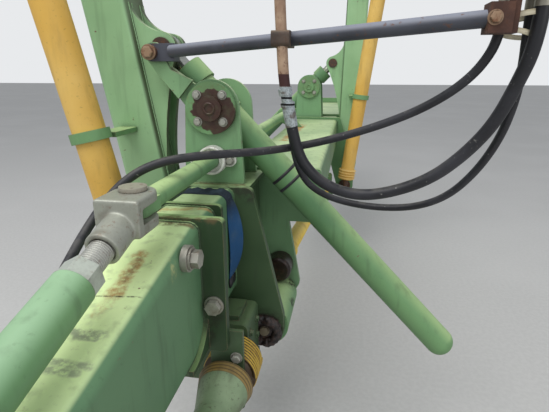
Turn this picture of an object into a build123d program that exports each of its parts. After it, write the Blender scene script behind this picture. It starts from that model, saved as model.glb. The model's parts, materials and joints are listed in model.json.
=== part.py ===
from build123d import *
import math
import os

# Main frame of a towed twin-rotor rake, with both rotor booms folded up for the road.
# Millimetres. +Y runs back along the machine from the front flange, +X is its right
# side as seen from the front end, and +Z is up.
os.makedirs("parts", exist_ok=True)

# Sheet, tube and running gaps
wall = 8.0
web_thick = 20.0
plate_thick = 12.0
seat_gap = 0.3
pin_gap = 0.08
move_gap = 6.0
past = 1.0  # how far a cutting tool runs past the faces that it cuts

# Front beam: a tapered box that runs from the front flange to the tower
beam_half = 60.0
beam_bottom = -88.0
beam_front_top = 87.0
beam_rear_top = 186.0
beam_corner = 20.0

# End flanges
flange_thick = 20.0
flange_half = 105.0
flange_half_tall = 100.0
flange_bolt_x = 170.0
flange_bolt_z = 150.0
flange_hole = 10.5
rear_flange_rim = 42.0
rear_bolt_x = 296.0
rear_bolt_z = 192.0

# Collar round the front beam, the clamp bolts on its right and the rib behind it
collar_front = 535.0
collar_half = 108.0
collar_top = 194.0
collar_bottom = -96.0
clamp_bolt = 17.0
upper_bolt_y = 456.0
upper_bolt_z = 148.0
lower_bolt_x = 84.0
lower_bolt_z = 12.0
gusset_long = 96.0
rib_front = 632.0
rib_half = 76.0
rib_top = 192.0

# Tower in the front: two webs across, a box between them and two uprights on the box
web_front = 790.0
web_gap = 190.0
web_arch = 62.0
box_half = 80.0
box_top = 189.0
box_bottom = 20.0
box_wall = 10.0
shoulder_half = 97.0
upright_gap = 126.0
upright_foot = 78.0
upright_round = 68.0
trunnion_high = 376.0

# Webs of the front tower: half width on top, reach of the ear past the fold pin's
# centre and height of the ear's corner above it
front_web_shape = (105.0, 50.0, 42.0)
rear_web_shape = (142.0, 68.0, 34.0)
pivot_tube_radius = 60.0

# Fold axes, booms and the lugs that the cylinders pull on
fold_high = -200.0
pin_radius = 25.0
boss_radius = 50.0
boom_reach = 1450.0
boom_wide = 118.0
boom_deep = 110.0
boom_start = 130.0
boom_foot = 42.0
lug_along = 707.0
lug_out = 118.0
lug_gap = 44.0
lug_thick = 15.0
lug_round = 38.0
head_radius = 118.0
head_circle = 200.0
head_hole = 8.5
head_holes = 8

# Lift cylinders
eye_pin = 17.5
eye_round = 34.0
eye_wide = 40.0
barrel_outer = 38.0
barrel_bore = 31.0
barrel_tail = 920.0
eye_clear = 62.8
gland_radius = 44.0
gland_long = 46.0
ram_radius = 20.0
piston_long = 50.0
piston_back = 55.0
piston_at = barrel_tail - piston_back
trunnion_radius = 20.0
bearing_radius = 62.5
bearing_thick = 14.0
bearing_bolt_circle = 90.0
bearing_bolt = 6.0
hub_radius = 30.0
hub_proud = 10.0

# Rear beam on the right of the tower
rear_left = 2.0
rear_right = 258.0
rear_top = 192.0
rear_bottom = 40.0
rear_end = 3880.0
rear_corner = 20.0

# Rotor drive: shafts, joints at the fold axes, guards and angle gearboxes
joint_ahead = 205.0
joint_yoke_at = 66.0
cross_radius = 11.0
fork_out = 34.0
fork_in = 22.0
guard_radius = 37.5
guard_wall = 4.0
cone_radius = 50.0
cone_start = 62.0
cone_end = 122.0
bellows_folds = 4
drive_x = 100.0
drive_high = -180.0
drive_radius = 15.0
spline_radius = 17.5
spline_long = 60.0
gearbox_half = 58.0
clip_heights = [520.0, 1180.0]

# Input drive under the front beam
bearing_y = 555.0
bearing_hub = 42.0
bracket_half = 36.0
drive_bellows_inner = 54.0
drive_bellows_outer = 62.0
drive_folds = 5

# Shaft from the front gearbox to the rear one, past the right of the tower box
link_x = 146.0
link_z = -100.0
link_sleeve = 24.0
link_body = 38.0
link_body_long = 60.0
link_radius = 27.0
link_collar = 34.0
link_collar_long = 90.0
link_rear_x = 207.0
link_rear_z = -178.0

# Steering linkage
rod_high = 250.0
rod_radius = 20.0
rod_front = 452.0
rod_rear = 2240.0
rod_eye = 24.0
rod_eye_half = 12.0
steer_pin_y = 412.0
steer_pin = 14.0
rear_eye_hole = 15.0
tine_thick = 18.0
clevis_radius = 36.0
link_slope = 16.0
thread_radius = 18.0
tube_radius = 30.0
guide_y = 2000.0

# Hose arm across the top of the tower, with the post and plate at its end
arm_fork = (-135.0, 825.0, 504.0)
arm_start = (-87.0, 810.0, 506.0)
arm_end = (556.0, 600.0, 543.0)
arm_radius = 14.0
arm_bolt_radius = 10.0
hose_plate_z = 604.0
hose_plate_thick = 8.0
hose_end_z = 560.0

# Thin pipes clamped to the hose arm: radius and corners, from the top down to the hose
pipes = [
    (11.0, [(188.0, 690.0, 690.0), (190.0, 690.0, 592.0), (199.0, 690.0, 438.0), (215.0, 698.0, 352.0)]),
    (7.0, [(179.0, 745.0, 690.0), (181.0, 745.0, 600.0), (190.6, 745.0, 437.0), (203.0, 775.0, 330.0)]),
]
pipe_clamp_x = 195.0

# Coupling in the front flange, and those in the hose plate: x, y and radius
flange_coupling = (-84.0, 62.0, 35.0)
coupling_neck = 8.0
plate_places = {
    "lower_hose": (628.0, 612.0, 13.0),
    "middle_hose": (577.0, 635.0, 10.0),
    "upper_hose": (622.0, 644.0, 10.0),
}


# A hose leaves the end of its pipe straight on
def lead_out(corners, reach):
    bend, end = Vector(*corners[-2]), Vector(*corners[-1])
    return [tuple(end), tuple(end + (end - bend).normalized() * reach)]


# Hydraulic hoses: node, outer radius, start, and the other corners to the hose plate
hoses = [
    ("lower_hose", 12.0, lead_out(pipes[0][1], 57), [
        (258, 708, 248), (306, 709, 217), (368, 706, 206),
        (438, 701, 222), (503, 684, 257), (554, 666, 310), (593, 650, 369), (615, 634, 437),
        (628, 612, 503), (628, 612, hose_end_z),
    ]),
    ("middle_hose", 8.5, [flange_coupling, (-84, 118, 35)], [
        (-85, 180, 58), (-86, 240, 98), (-92, 305, 140),
        (-100, 372, 172), (-106, 430, 198), (-96, 484, 236), (-66, 514, 272), (-24, 540, 296),
        (32, 572, 305), (88, 624, 303), (150, 690, 298), (232, 742, 304), (319, 738, 327),
        (403, 711, 359), (470, 685, 392), (523, 662, 430), (558, 645, 470), (577, 635, 517),
        (577, 635, hose_end_z),
    ]),
    ("upper_hose", 8.0, lead_out(pipes[1][1], 40), [
        (219, 792, 244), (242, 800, 203), (286, 808, 173),
        (349, 806, 157), (423, 792, 155), (493, 766, 170), (550, 740, 205), (592, 714, 266),
        (618, 688, 335), (627, 665, 404), (626, 650, 468), (622, 644, 520), (622, 644, hose_end_z),
    ]),
]

# Webbing strap laid over the neck behind the rib
strap_front = 722.0
strap_wide = 45.0
strap_thick = 3.0
strap_tip = -52.0
strap_left_tip = 90.0

# One row per boom: name, side (-1 left, 1 right), middle of the uprights along Y,
# trunnion x, fold axis x, lean of the boom and lean of its drive shaft in degrees
stations = [
    ("front", -1, 905.0, 0.0, -137.0, 9.3, 12.1),
    ("rear", 1, 2505.0, 84.0, 318.0, 1.3, 7.0),
]
rear_middle = stations[1][2]
front_joint_y = stations[0][2] - joint_ahead
rear_joint_y = rear_middle - joint_ahead


# Plain solids between named faces
def block(x0, x1, y0, y1, z0, z1):
    size = (x1 - x0, y1 - y0, z1 - z0)
    middle = ((x0 + x1) / 2, (y0 + y1) / 2, (z0 + z1) / 2)
    return Pos(*middle) * Box(*size)


def bar(start, end, radius):
    a, b = Vector(*start), Vector(*end)
    face = Plane(origin=a, z_dir=(b - a).normalized())
    return extrude(face * Circle(radius), amount=(b - a).length)


def bar_along_y(x, z, y0, y1, radius):
    return bar((x, y0, z), (x, y1, z), radius)


def ring(start, end, radius, hole):
    a, b = Vector(*start), Vector(*end)
    face = Plane(origin=a, z_dir=(b - a).normalized())
    return extrude(face * (Circle(radius) - Circle(hole)), amount=(b - a).length)


def outline(*points):
    return make_face(Polyline(*points, close=True))


def across(face, front, depth):
    # a face drawn in X and Z, from its front backwards
    plane = Plane(origin=(0, front, 0), x_dir=(1, 0, 0), z_dir=(0, -1, 0))
    return extrude(plane * face, amount=-depth)


def along_x(face, left, depth):
    # a face drawn in Y and Z, from its left to the right
    plane = Plane(origin=(left, 0, 0), x_dir=(0, 1, 0), z_dir=(1, 0, 0))
    return extrude(plane * face, amount=depth)


def save(shape, node):
    shape.label = node
    export_step(shape, f"parts/{node}.step")


def save_set(solids, node):
    save(Compound(children=solids), node)


# Front flange, with four holes for the headstock and one for the hose coupling
def front_flange():
    plate = across(RectangleRounded(2 * flange_half, 2 * flange_half_tall, 18), 0, flange_thick)
    for x in (-flange_bolt_x / 2, flange_bolt_x / 2):
        for z in (-flange_bolt_z / 2, flange_bolt_z / 2):
            plate -= bar_along_y(x, z, -past, flange_thick + past, flange_hole)
    x, y, z = flange_coupling
    return plate - bar_along_y(x, z, -past, flange_thick + past, coupling_neck + seat_gap)


def beam_outline(inset):
    return outline(
        (flange_thick, beam_bottom + inset),
        (web_front, beam_bottom + inset),
        (web_front, beam_rear_top - inset),
        (collar_front, beam_rear_top - inset),
        (flange_thick, beam_front_top - inset),
    )


def beam_solid():
    solid = along_x(beam_outline(0), -beam_half, 2 * beam_half)
    on_ends = [flange_thick, web_front]
    corners = [
        edge
        for edge in solid.edges()
        if abs(abs(edge.center().X) - beam_half) < past
        and min(abs(edge.center().Y - y) for y in on_ends) > past
    ]
    return fillet(corners, beam_corner)


def front_beam():
    inner = along_x(beam_outline(wall), wall - beam_half, 2 * (beam_half - wall))
    return beam_solid() - inner


# Collar that the front beam passes through, with a curved gusset on its right
def collar():
    plate = outline(
        (-collar_half, collar_bottom),
        (collar_half, collar_bottom),
        (collar_half, collar_top),
        (-collar_half, collar_top),
    )
    plate = fillet(plate.vertices(), plate_thick)
    back = collar_front
    curve = ThreePointArc(
        (back - gusset_long, beam_bottom + 12),
        (back - gusset_long / 3, beam_bottom + 26),
        (back, -20),
    )
    foot = Polyline(curve @ 1, (back, beam_bottom), (back - gusset_long, beam_bottom), curve @ 0)
    gusset = along_x(make_face([curve, *foot.edges()]), beam_half, box_wall)
    return across(plate, collar_front, web_thick) - beam_solid() + gusset


def neck_rib():
    plate = outline(
        (-rib_half, beam_bottom - plate_thick),
        (rib_half, beam_bottom - plate_thick),
        (rib_half, rib_top),
        (-rib_half, rib_top),
    )
    plate = fillet(plate.vertices(), plate_thick)
    return across(plate, rib_front, plate_thick) - beam_solid()


# Web of the front tower: a tapered plate with an arch and a round ear at each pin
def tower_web(front, top_half, ear_out, ear_up):
    x = abs(stations[0][4])
    face = outline(
        (-top_half, box_top),
        (top_half, box_top),
        (x + ear_out, fold_high + ear_up),
        (x + boss_radius, fold_high),
        (-x - boss_radius, fold_high),
        (-x - ear_out, fold_high + ear_up),
    )
    shoulders = [v for v in face.vertices() if v.Y > fold_high + past]
    plate = across(fillet(shoulders, beam_corner), front, web_thick)
    back = front + web_thick
    for side in (-1, 1):
        plate += bar_along_y(side * x, fold_high, front, back, boss_radius)
    for side in (-1, 1):
        plate -= bar_along_y(side * x, fold_high, front - past, back + past, pin_radius + pin_gap)
    return plate - bar_along_y(0, fold_high, front - past, back + past, web_arch)


def tower_box():
    y0 = web_front + web_thick
    y1 = y0 + web_gap
    inner_half = box_half - box_wall
    roof = box_top - box_wall
    outer = block(-box_half, box_half, y0, y1, box_bottom, roof)
    inner = block(-inner_half, inner_half, y0 - past, y1 + past, box_bottom + box_wall, roof - box_wall)
    return outer - inner + block(-shoulder_half, shoulder_half, y0, y1, roof, box_top)


# The tower's rear web is wider, with a pad for the rear beam
def rear_web_of_tower():
    rim = 4.0
    front = web_front + web_thick + web_gap
    back = front + web_thick
    pad = block(0, rear_right + rim, front, back, rear_bottom - rim, rear_top + rim)
    pad = fillet(pad.edges().filter_by(Axis.Y).group_by(Axis.X)[-1], plate_thick)
    hole = bar_along_y(link_x, link_z, front - past, back + past, link_sleeve)
    return tower_web(front, *rear_web_shape) + pad - hole


# Tube round the right fold pin, between the webs
def pivot_tube():
    x = abs(stations[0][4])
    start = (x, web_front + web_thick + seat_gap, fold_high)
    end = (x, web_front + web_thick + web_gap - seat_gap, fold_high)
    return ring(start, end, pivot_tube_radius, pin_radius + pin_gap)


# Upright that carries one end of a cylinder's trunnion
def upright(x, front, foot, rod_hole):
    face = outline(
        (x - upright_foot, foot),
        (x + upright_foot, foot),
        (x + upright_round, trunnion_high),
        (x - upright_round, trunnion_high),
    )
    back = front + plate_thick
    plate = across(face, front, plate_thick)
    plate += bar_along_y(x, trunnion_high, front, back, upright_round)
    plate -= bar_along_y(x, trunnion_high, front - past, back + past, trunnion_radius + pin_gap)
    if rod_hole:
        plate -= bar_along_y(0, rod_high, front - past, back + past, rod_radius + 5)
    return plate


# Ear on the front upright that the hose arm's fork is bolted to
def hose_ear(front):
    x, y, z = arm_fork
    tab = outline((-40, 432), (-98, 472), (-116, 446), (-66, 380))
    ear = outline((-80, 398), (-42, 441), (-96, 466), (-112, 498), (x - 23, 494), (-114, 438))
    ear_front = front - box_wall
    body = across(tab, front, plate_thick) + across(ear, ear_front, box_wall)
    body += bar_along_y(x, z, ear_front, front, 24)
    return body - bar_along_y(x, z, ear_front - past, front + past, arm_bolt_radius + pin_gap)


# Round bearing flange outside an upright, with four bolt holes and a closed hub
def bearing(x, face_y, away):
    end = face_y + away * bearing_thick
    flange = bar_along_y(x, trunnion_high, face_y, end, bearing_radius)
    flange += bar_along_y(x, trunnion_high, end, end + away * hub_proud, hub_radius)
    flange -= bar_along_y(x, trunnion_high, face_y - away * past, end, trunnion_radius + pin_gap)
    for turn in (45, 135, 225, 315):
        dx = bearing_bolt_circle / 2 * math.cos(math.radians(turn))
        dz = bearing_bolt_circle / 2 * math.sin(math.radians(turn))
        flange -= bar_along_y(
            x + dx, trunnion_high + dz, face_y - away * past, end + away * past, bearing_bolt
        )
    return flange


# Two-bolt guide ring for the steering rod
def guide_ring(face_y):
    ear_out = 44.0
    ear_radius = 16.0
    ear_thick = 10.0
    ear_hole = 5.5
    ring_out = 36.0
    ring_deep = 22.0
    back = face_y + past
    body = bar_along_y(0, rod_high, face_y - ring_deep, face_y, ring_out)
    ears = Pos(0, rod_high) * SlotCenterToCenter(2 * ear_out, 2 * ear_radius)
    body += across(ears, face_y - ear_thick, ear_thick)
    body -= bar_along_y(0, rod_high, face_y - ring_deep - past, back, rod_radius + pin_gap)
    for side in (-1, 1):
        body -= bar_along_y(side * ear_out, rod_high, face_y - ear_thick - past, back, ear_hole)
    return body


# Rear beam and its flange
def rear_beam():
    y0 = web_front + 2 * web_thick + web_gap
    outer = block(rear_left, rear_right, y0, rear_end, rear_bottom, rear_top)
    outer = fillet(outer.edges().filter_by(Axis.Y), rear_corner)
    inner = block(
        rear_left + wall, rear_right - wall, y0 - past, rear_end + past, rear_bottom + wall, rear_top - wall
    )
    return outer - inner


def rear_flange():
    x = (rear_left + rear_right) / 2
    z = (rear_bottom + rear_top) / 2
    wide = rear_right - rear_left + 2 * rear_flange_rim
    tall = rear_top - rear_bottom + 2 * rear_flange_rim
    plate = across(Pos(x, z) * RectangleRounded(wide, tall, rear_corner), rear_end, flange_thick)
    for dx in (-rear_bolt_x / 2, rear_bolt_x / 2):
        for dz in (-rear_bolt_z / 2, rear_bolt_z / 2):
            plate -= bar_along_y(x + dx, z + dz, rear_end - past, rear_end + flange_thick + past, flange_hole)
    return plate


# Web of the rear boom's bearing, round the rear beam
def rear_station_web(front, x):
    rim = 16.0
    face = outline(
        (rear_left - rim, rear_top + plate_thick),
        (rear_right + rim, rear_top + plate_thick),
        (x + boss_radius, -90),
        (x + boss_radius, fold_high),
        (x - boss_radius, fold_high),
        (x - 2 * boss_radius, rear_bottom - 70),
        (rear_left - rim, rear_bottom - rim),
    )
    upper = [v for v in face.vertices() if v.Y > fold_high + past]
    plate = across(fillet(upper, plate_thick), front, web_thick)
    back = front + web_thick
    plate += bar_along_y(x, fold_high, front, back, boss_radius)
    plate -= bar_along_y(x, fold_high, front - past, back + past, pin_radius + pin_gap)
    beam = block(rear_left, rear_right, front - past, back + past, rear_bottom, rear_top)
    return plate - fillet(beam.edges().filter_by(Axis.Y), rear_corner)


# Fold pin with a greased cap in front and a washer behind
def fold_pin(x, front, back):
    cap = pin_radius + 9
    pin = bar_along_y(x, fold_high, front - plate_thick, back + wall, pin_radius)
    pin += bar_along_y(x, fold_high, front - plate_thick, front - seat_gap, cap)
    pin += bar_along_y(x, fold_high, front - plate_thick - 5, front - plate_thick, pin_radius / 2)
    return pin + bar_along_y(x, fold_high, back + seat_gap, back + wall, cap)


# Boom parts are drawn upright about the fold axis, then leaned to their side
def lean_out(shape, side, fold_x, middle, lean):
    return Pos(fold_x, middle, fold_high) * Rot(0, side * lean, 0) * shape


def boom_foot_solid():
    half = boom_wide / 2
    deep = boom_deep / 2
    reach = web_gap / 2 - move_gap
    cheek_top = boom_start + 150
    cheek = outline(
        (-boom_foot + 2, 0),
        (boom_foot - 2, 0),
        (half, boom_start),
        (half - 6, cheek_top),
        (6 - half, cheek_top),
        (-half, boom_start),
    )
    foot = bar_along_y(0, 0, -reach, reach, boom_foot)
    for y in (-deep - plate_thick, deep):
        foot += across(cheek, y, plate_thick)
    foot += block(10 - half, half - 10, -deep, deep, 30, boom_start)
    return foot - bar_along_y(0, 0, -reach - past, reach + past, pin_radius + pin_gap)


# Pair of lug plates for the cylinder's eye, swept out of the boom's inner side
def lugs(side):
    half = boom_wide / 2
    inward = -side
    low = (inward * (half - 1), lug_along - 330)
    high = (inward * (half - 1), lug_along + 120)
    tip = (inward * (lug_out + lug_round * 0.8), lug_along - lug_round * 0.6)
    crown = (inward * (lug_out + 6), lug_along + lug_round)
    under = ThreePointArc(low, (inward * (half + 26), lug_along - 190), tip)
    over = ThreePointArc(crown, (inward * (half + 30), lug_along + 58), high)
    face = make_face([under, *Polyline(tip, crown).edges(), over, *Polyline(high, low).edges()])
    both = None
    for y in (-lug_gap / 2 - lug_thick, lug_gap / 2):
        plate = across(face, y, lug_thick)
        plate += bar_along_y(inward * lug_out, lug_along, y, y + lug_thick, lug_round)
        both = plate if both is None else both + plate
    outer = lug_gap / 2 + lug_thick + past
    return both - bar_along_y(inward * lug_out, lug_along, -outer, outer, eye_pin + pin_gap)


def boom(side):
    half = boom_wide / 2
    deep = boom_deep / 2
    end = boom_reach - flange_thick
    box = block(-half, half, -deep, deep, boom_start, end)
    box = fillet(box.edges().filter_by(Axis.Z), 14)
    box -= block(wall - half, half - wall, wall - deep, deep - wall, boom_start + plate_thick, boom_reach)
    head = Pos(0, 0, end) * extrude(Plane.XY * Circle(head_radius), amount=flange_thick)
    for hole in PolarLocations(head_circle / 2, head_holes, start_angle=22.5):
        head -= Pos(0, 0, end - past) * hole * extrude(Circle(head_hole), amount=flange_thick + 2 * past)
    return box + boom_foot_solid() + lugs(side) + head


# Outer lengths of the eye's pin, in the lugs; the eye holds the middle length
def ram_pin(side):
    x = -side * lug_out
    inner = lug_gap / 2
    outer = inner + lug_thick
    cap = eye_pin + 7.5
    halves = []
    for away in (-1, 1):
        stub = bar_along_y(x, lug_along, away * inner, away * (outer + 7), eye_pin)
        stub += bar_along_y(x, lug_along, away * (outer + seat_gap), away * (outer + 7), cap)
        halves.append(stub)
    return halves


# Guard of a boom's drive shaft: a tube with a ribbed boot at the joint and a cone on top
def shaft_guard_tube():
    top = boom_reach - 40
    step = (cone_end - cone_start) / bellows_folds
    waist = cone_radius - 8
    boot = [(guard_radius - guard_wall - 2, cone_start)]
    for fold in range(bellows_folds):
        boot += [(waist, cone_start + fold * step), (cone_radius, cone_start + (fold + 0.5) * step)]
    boot += [(waist, cone_end), (guard_radius - guard_wall, cone_end)]
    tube = ring((0, 0, cone_end - past), (0, 0, top - 60), guard_radius, guard_radius - guard_wall)
    cone = [
        (guard_radius - guard_wall, top - 70),
        (guard_radius, top - 70),
        (cone_radius, top),
        (cone_radius - guard_wall, top),
    ]
    for profile in (boot, cone):
        face = Plane.XZ * make_face(Polyline(*profile, close=True))
        tube += revolve(face, Axis.Z)
    return tube


def boom_shaft():
    top = boom_reach - box_wall
    shaft = bar((0, 0, 30), (0, 0, top - 30), drive_radius)
    shaft += bar((0, 0, top - 30), (0, 0, top), spline_radius)
    shaft += bar((0, -fork_out, 0), (0, fork_out, 0), cross_radius)
    return shaft + bar((0, 0, -9), (0, 0, 32), drive_radius - 1)


# Clips that hold the guard tube in front of its boom
def shaft_clips(side, fold_x, middle, lean, shaft_lean, joint_y):
    clips = []
    for height in clip_heights:
        centre = Pos(fold_x, joint_y, fold_high) * Rot(0, side * shaft_lean, 0) * Pos(0, 0, height)
        point = centre.position
        rim = Circle(guard_radius + wall) - Circle(guard_radius + seat_gap)
        along = (point.Z - fold_high) / math.cos(math.radians(lean))
        arm_x = fold_x + side * along * math.sin(math.radians(lean))
        strut = block(
            min(point.X, arm_x) - 10,
            max(point.X, arm_x) + 10,
            point.Y + guard_radius + 4,
            middle - boom_deep / 2,
            point.Z + 4,
            point.Z + 16,
        )
        clips.append(centre * extrude(Plane.XY * rim, amount=24) + strut)
    return clips


# Lift cylinder: barrel with trunnions, drawn along X about its trunnion
def barrel(barrel_head):
    tube = bar((-barrel_head, 0, 0), (barrel_tail - barrel_outer, 0, 0), barrel_outer)
    tube += Pos(barrel_tail - barrel_outer, 0, 0) * Sphere(barrel_outer)
    tube += bar((-barrel_head, 0, 0), (-barrel_head + gland_long + 9, 0, 0), gland_radius)
    tube += bar((-30, 0, 0), (30, 0, 0), gland_radius)
    inner = upright_gap / 2
    outer = inner + plate_thick + bearing_thick - 6
    tube += bar((0, -outer, 0), (0, outer, 0), trunnion_radius)
    tube += bar((0, -inner + move_gap, 0), (0, inner - move_gap, 0), trunnion_radius + 9)
    bore_end = barrel_tail - barrel_outer - 8
    tube -= bar((gland_long - barrel_head, 0, 0), (bore_end, 0, 0), barrel_bore)
    return tube - bar((-barrel_head - past, 0, 0), (gland_long - barrel_head + past, 0, 0), ram_radius + pin_gap)


# Its ram, with the middle length of the pin in the eye
def ram(eye_distance):
    half = eye_wide / 2
    eye = (-eye_distance, -half, 0), (-eye_distance, half, 0)
    body = bar((-eye_distance, 0, 0), (piston_at, 0, 0), ram_radius)
    body += bar((piston_at - piston_long, 0, 0), (piston_at, 0, 0), barrel_bore - pin_gap)
    body += bar(*eye, eye_round)
    body -= bar((-eye_distance, -half - past, 0), (-eye_distance, half + past, 0), eye_pin + pin_gap)
    return [body, bar(*eye, eye_pin)]


# Angle gearbox under a beam, with its output towards the fold axis
def gearbox(side, fold_x, joint_y, x0, x1, beam_face, roof):
    body = block(x0, x1, joint_y - gearbox_half, joint_y + gearbox_half, fold_high - 62, roof)
    body = fillet(body.edges().filter_by(Axis.Y), 16)
    face = x0 if side < 0 else x1
    body += bar((face - side * 10, joint_y, fold_high), (fold_x - side * joint_yoke_at, joint_y, fold_high), 40)
    return body + block(x0 + 25, x1 - 25, joint_y - 40, joint_y + 40, roof - 5, beam_face)


# Yoke of the universal joint, between its gearbox and the cross on the fold axis
def joint_yoke(side, fold_x, joint_y):
    def reach(start, end):
        return sorted((fold_x - side * start, fold_x + side * end))

    stem = (fold_x - side * joint_yoke_at, joint_y, fold_high), (fold_x - side * 30, joint_y, fold_high)
    low, high = fold_high - 16, fold_high + 16
    yoke = bar(*stem, 20)
    for y in (joint_y - fork_out, joint_y + fork_in):
        yoke += block(*reach(44, 16), y, y + fork_out - fork_in, low, high)
    yoke += block(*reach(44, -30), joint_y - fork_out, joint_y + fork_out, low, high)
    return yoke - bar_along_y(fold_x, fold_high, joint_y - 40, joint_y + 40, cross_radius + pin_gap)


# Housing and guard of the shaft that runs back to the rear gearbox
def link_bearing():
    face = web_front + web_thick + web_gap
    body = bar_along_y(link_x, link_z, face - link_body_long, face, link_body)
    body = fillet(body.edges().group_by(Axis.Y)[0], box_wall)
    end = face + web_thick + move_gap
    return body + bar_along_y(link_x, link_z, face, end, link_sleeve - seat_gap)


def link_guard():
    y0 = web_front + 2 * web_thick + web_gap + move_gap
    y1 = rear_joint_y - gearbox_half
    start = Vector(link_x, y0, link_z)
    end = Vector(link_rear_x, y1, link_rear_z)
    over = (end - start).normalized() * 20
    reach = (end - start).normalized() * link_collar_long
    tube = bar(start - over, end + over, link_radius)
    tube += bar(start - over, start + reach, link_collar)
    tube += bar(end - reach, end + over, link_collar)
    tube -= block(0, 400, y1 - seat_gap, y1 + 100, -300, 0)
    return tube - block(0, 400, y0 - 100, y0 + seat_gap, -300, 0)


# Bolts on the right of the collar, the upper one on a welded boss
def clamp_bolts():
    boss_out = beam_half + plate_thick
    upper = bar((beam_half, upper_bolt_y, upper_bolt_z), (boss_out, upper_bolt_y, upper_bolt_z), 24)
    upper += bar((boss_out, upper_bolt_y, upper_bolt_z), (boss_out + 4, upper_bolt_y, upper_bolt_z), 20)
    head = Plane.YZ * RegularPolygon(clamp_bolt, 6)
    upper += Pos(boss_out + 4, upper_bolt_y, upper_bolt_z) * extrude(head, amount=14)
    face = Plane(origin=(lower_bolt_x, collar_front, lower_bolt_z), x_dir=(1, 0, 0), z_dir=(0, -1, 0))
    lower = extrude(face * Circle(20), amount=4) + extrude(face * RegularPolygon(clamp_bolt - 1, 6), amount=17)
    return [upper, lower]


# Input drive: bearing bracket under the collar, guards and the shaft
def shaft_bracket():
    y = bearing_y
    side = outline(
        (drive_x - bracket_half, beam_bottom + 30),
        (drive_x + bracket_half, beam_bottom + 30),
        (drive_x + bracket_half, drive_high - 70),
        (drive_x + bracket_half - 22, drive_high - 92),
        (drive_x - bracket_half, drive_high - 92),
    )
    plate = across(side, y, box_wall)
    plate += bar_along_y(drive_x, drive_high, y - 18, y + box_wall, bearing_hub)
    return plate - bar_along_y(drive_x, drive_high, y - 19, y + box_wall + past, drive_radius + pin_gap)


def input_guard():
    y1 = bearing_y - 18
    profile = [
        (drive_radius + 6, 70),
        (52, 70),
        (guard_radius, 130),
        (guard_radius, y1 - 90),
        (60, y1),
        (drive_radius + 6, y1),
    ]
    face = make_face(Polyline(*profile, close=True))
    return Pos(drive_x, 0, drive_high) * revolve(face, Axis.Y)


def drive_bellows():
    y0 = bearing_y + box_wall
    y1 = front_joint_y - gearbox_half
    step = (y1 - y0) / drive_folds
    points = [(drive_radius + 6, y0)]
    for fold in range(drive_folds):
        points += [(drive_bellows_inner, y0 + fold * step), (drive_bellows_outer, y0 + (fold + 0.5) * step)]
    points += [(drive_bellows_inner, y1), (drive_radius + 6, y1)]
    face = make_face(Polyline(*points, close=True))
    return Pos(drive_x, 0, drive_high) * revolve(face, Axis.Y)


def input_shaft():
    y1 = front_joint_y - gearbox_half - seat_gap
    shaft = bar_along_y(drive_x, drive_high, spline_long, y1, drive_radius)
    return shaft + bar_along_y(drive_x, drive_high, 0, spline_long, spline_radius)


# Steering rod and its rear guide
def steering_rod():
    low, high = rod_high - rod_eye_half, rod_high + rod_eye_half
    rear_y = rod_rear + 34
    rod = bar_along_y(0, rod_high, rod_front, rod_rear, rod_radius)
    rod += block(-rod_eye, rod_eye, steer_pin_y, rod_front + 6, low, high)
    rod += bar((0, steer_pin_y, low), (0, steer_pin_y, high), rod_eye)
    rod += block(-rod_eye, rod_eye, rod_rear - 6, rear_y, low, high)
    rod += bar((0, rear_y, low), (0, rear_y, high), rod_eye + 6)
    for y, radius in ((steer_pin_y, steer_pin + pin_gap), (rear_y, rear_eye_hole)):
        rod -= bar((0, y, low - past), (0, y, high + past), radius)
    return rod


def rear_guide():
    back = guide_y + plate_thick
    face = outline((24, rear_top), (94, rear_top), (30, rod_high + 16), (-20, rod_high - 30))
    plate = across(face, guide_y, plate_thick)
    plate += bar_along_y(0, rod_high, guide_y - 12, back + 12, rod_radius + 14)
    return plate - bar_along_y(0, rod_high, guide_y - 13, back + 13, rod_radius + pin_gap)


# The turnbuckle is drawn along -Y from the steering pin, then tipped down its slope
def at_steering_pin(shape):
    return Pos(0, steer_pin_y, rod_high) * shape


def tipped(shape):
    return Rot(link_slope, 0, 0) * shape


def clevis():
    slot = rod_eye_half + seat_gap
    outer = slot + tine_thick
    slot_end = -42
    body = bar((0, 0, -outer), (0, 0, outer), clevis_radius)
    body += block(-clevis_radius, clevis_radius, -58, 0, -outer, outer)
    body = fillet(body.edges().group_by(Axis.Z)[-1] + body.edges().group_by(Axis.Z)[0], 4)
    body -= block(-40, 40, slot_end, 60, -slot, slot)
    shank = tipped(bar((0, -108, 0), (0, -40, 0), 27))
    body += shank - block(-40, 40, slot_end - 6, 60, -80, 80)
    body -= tipped(bar((0, -109, 0), (0, -60, 0), thread_radius + pin_gap))
    body -= bar((0, 0, -60), (0, 0, 60), steer_pin + pin_gap)
    return at_steering_pin(body)


def clevis_pin():
    seat = rod_eye_half + tine_thick + 2 * seat_gap
    end = seat + 7
    body = bar((0, 0, -end), (0, 0, end), steer_pin)
    body += bar((0, 0, seat), (0, 0, end), 22)
    body += bar((0, 0, -end), (0, 0, -seat), 20)
    return at_steering_pin(body)


def turnbuckle():
    tube = bar((0, -380, 0), (0, -182, 0), tube_radius)
    tube -= bar((0, -252, 0), (0, -181, 0), thread_radius + pin_gap)
    tube -= bar((0, -381, 0), (0, -300, 0), thread_radius)
    return at_steering_pin(tipped(tube))


def turnbuckle_rod():
    return at_steering_pin(tipped(bar((0, -250, 0), (0, -64, 0), thread_radius)))


def lock_nut():
    face = Plane(origin=(0, -152, 0), z_dir=(0, -1, 0))
    nut = extrude(face * RegularPolygon(29, 6), amount=30 - seat_gap)
    nut -= bar((0, -151, 0), (0, -183, 0), thread_radius + pin_gap)
    return at_steering_pin(tipped(nut))


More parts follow.
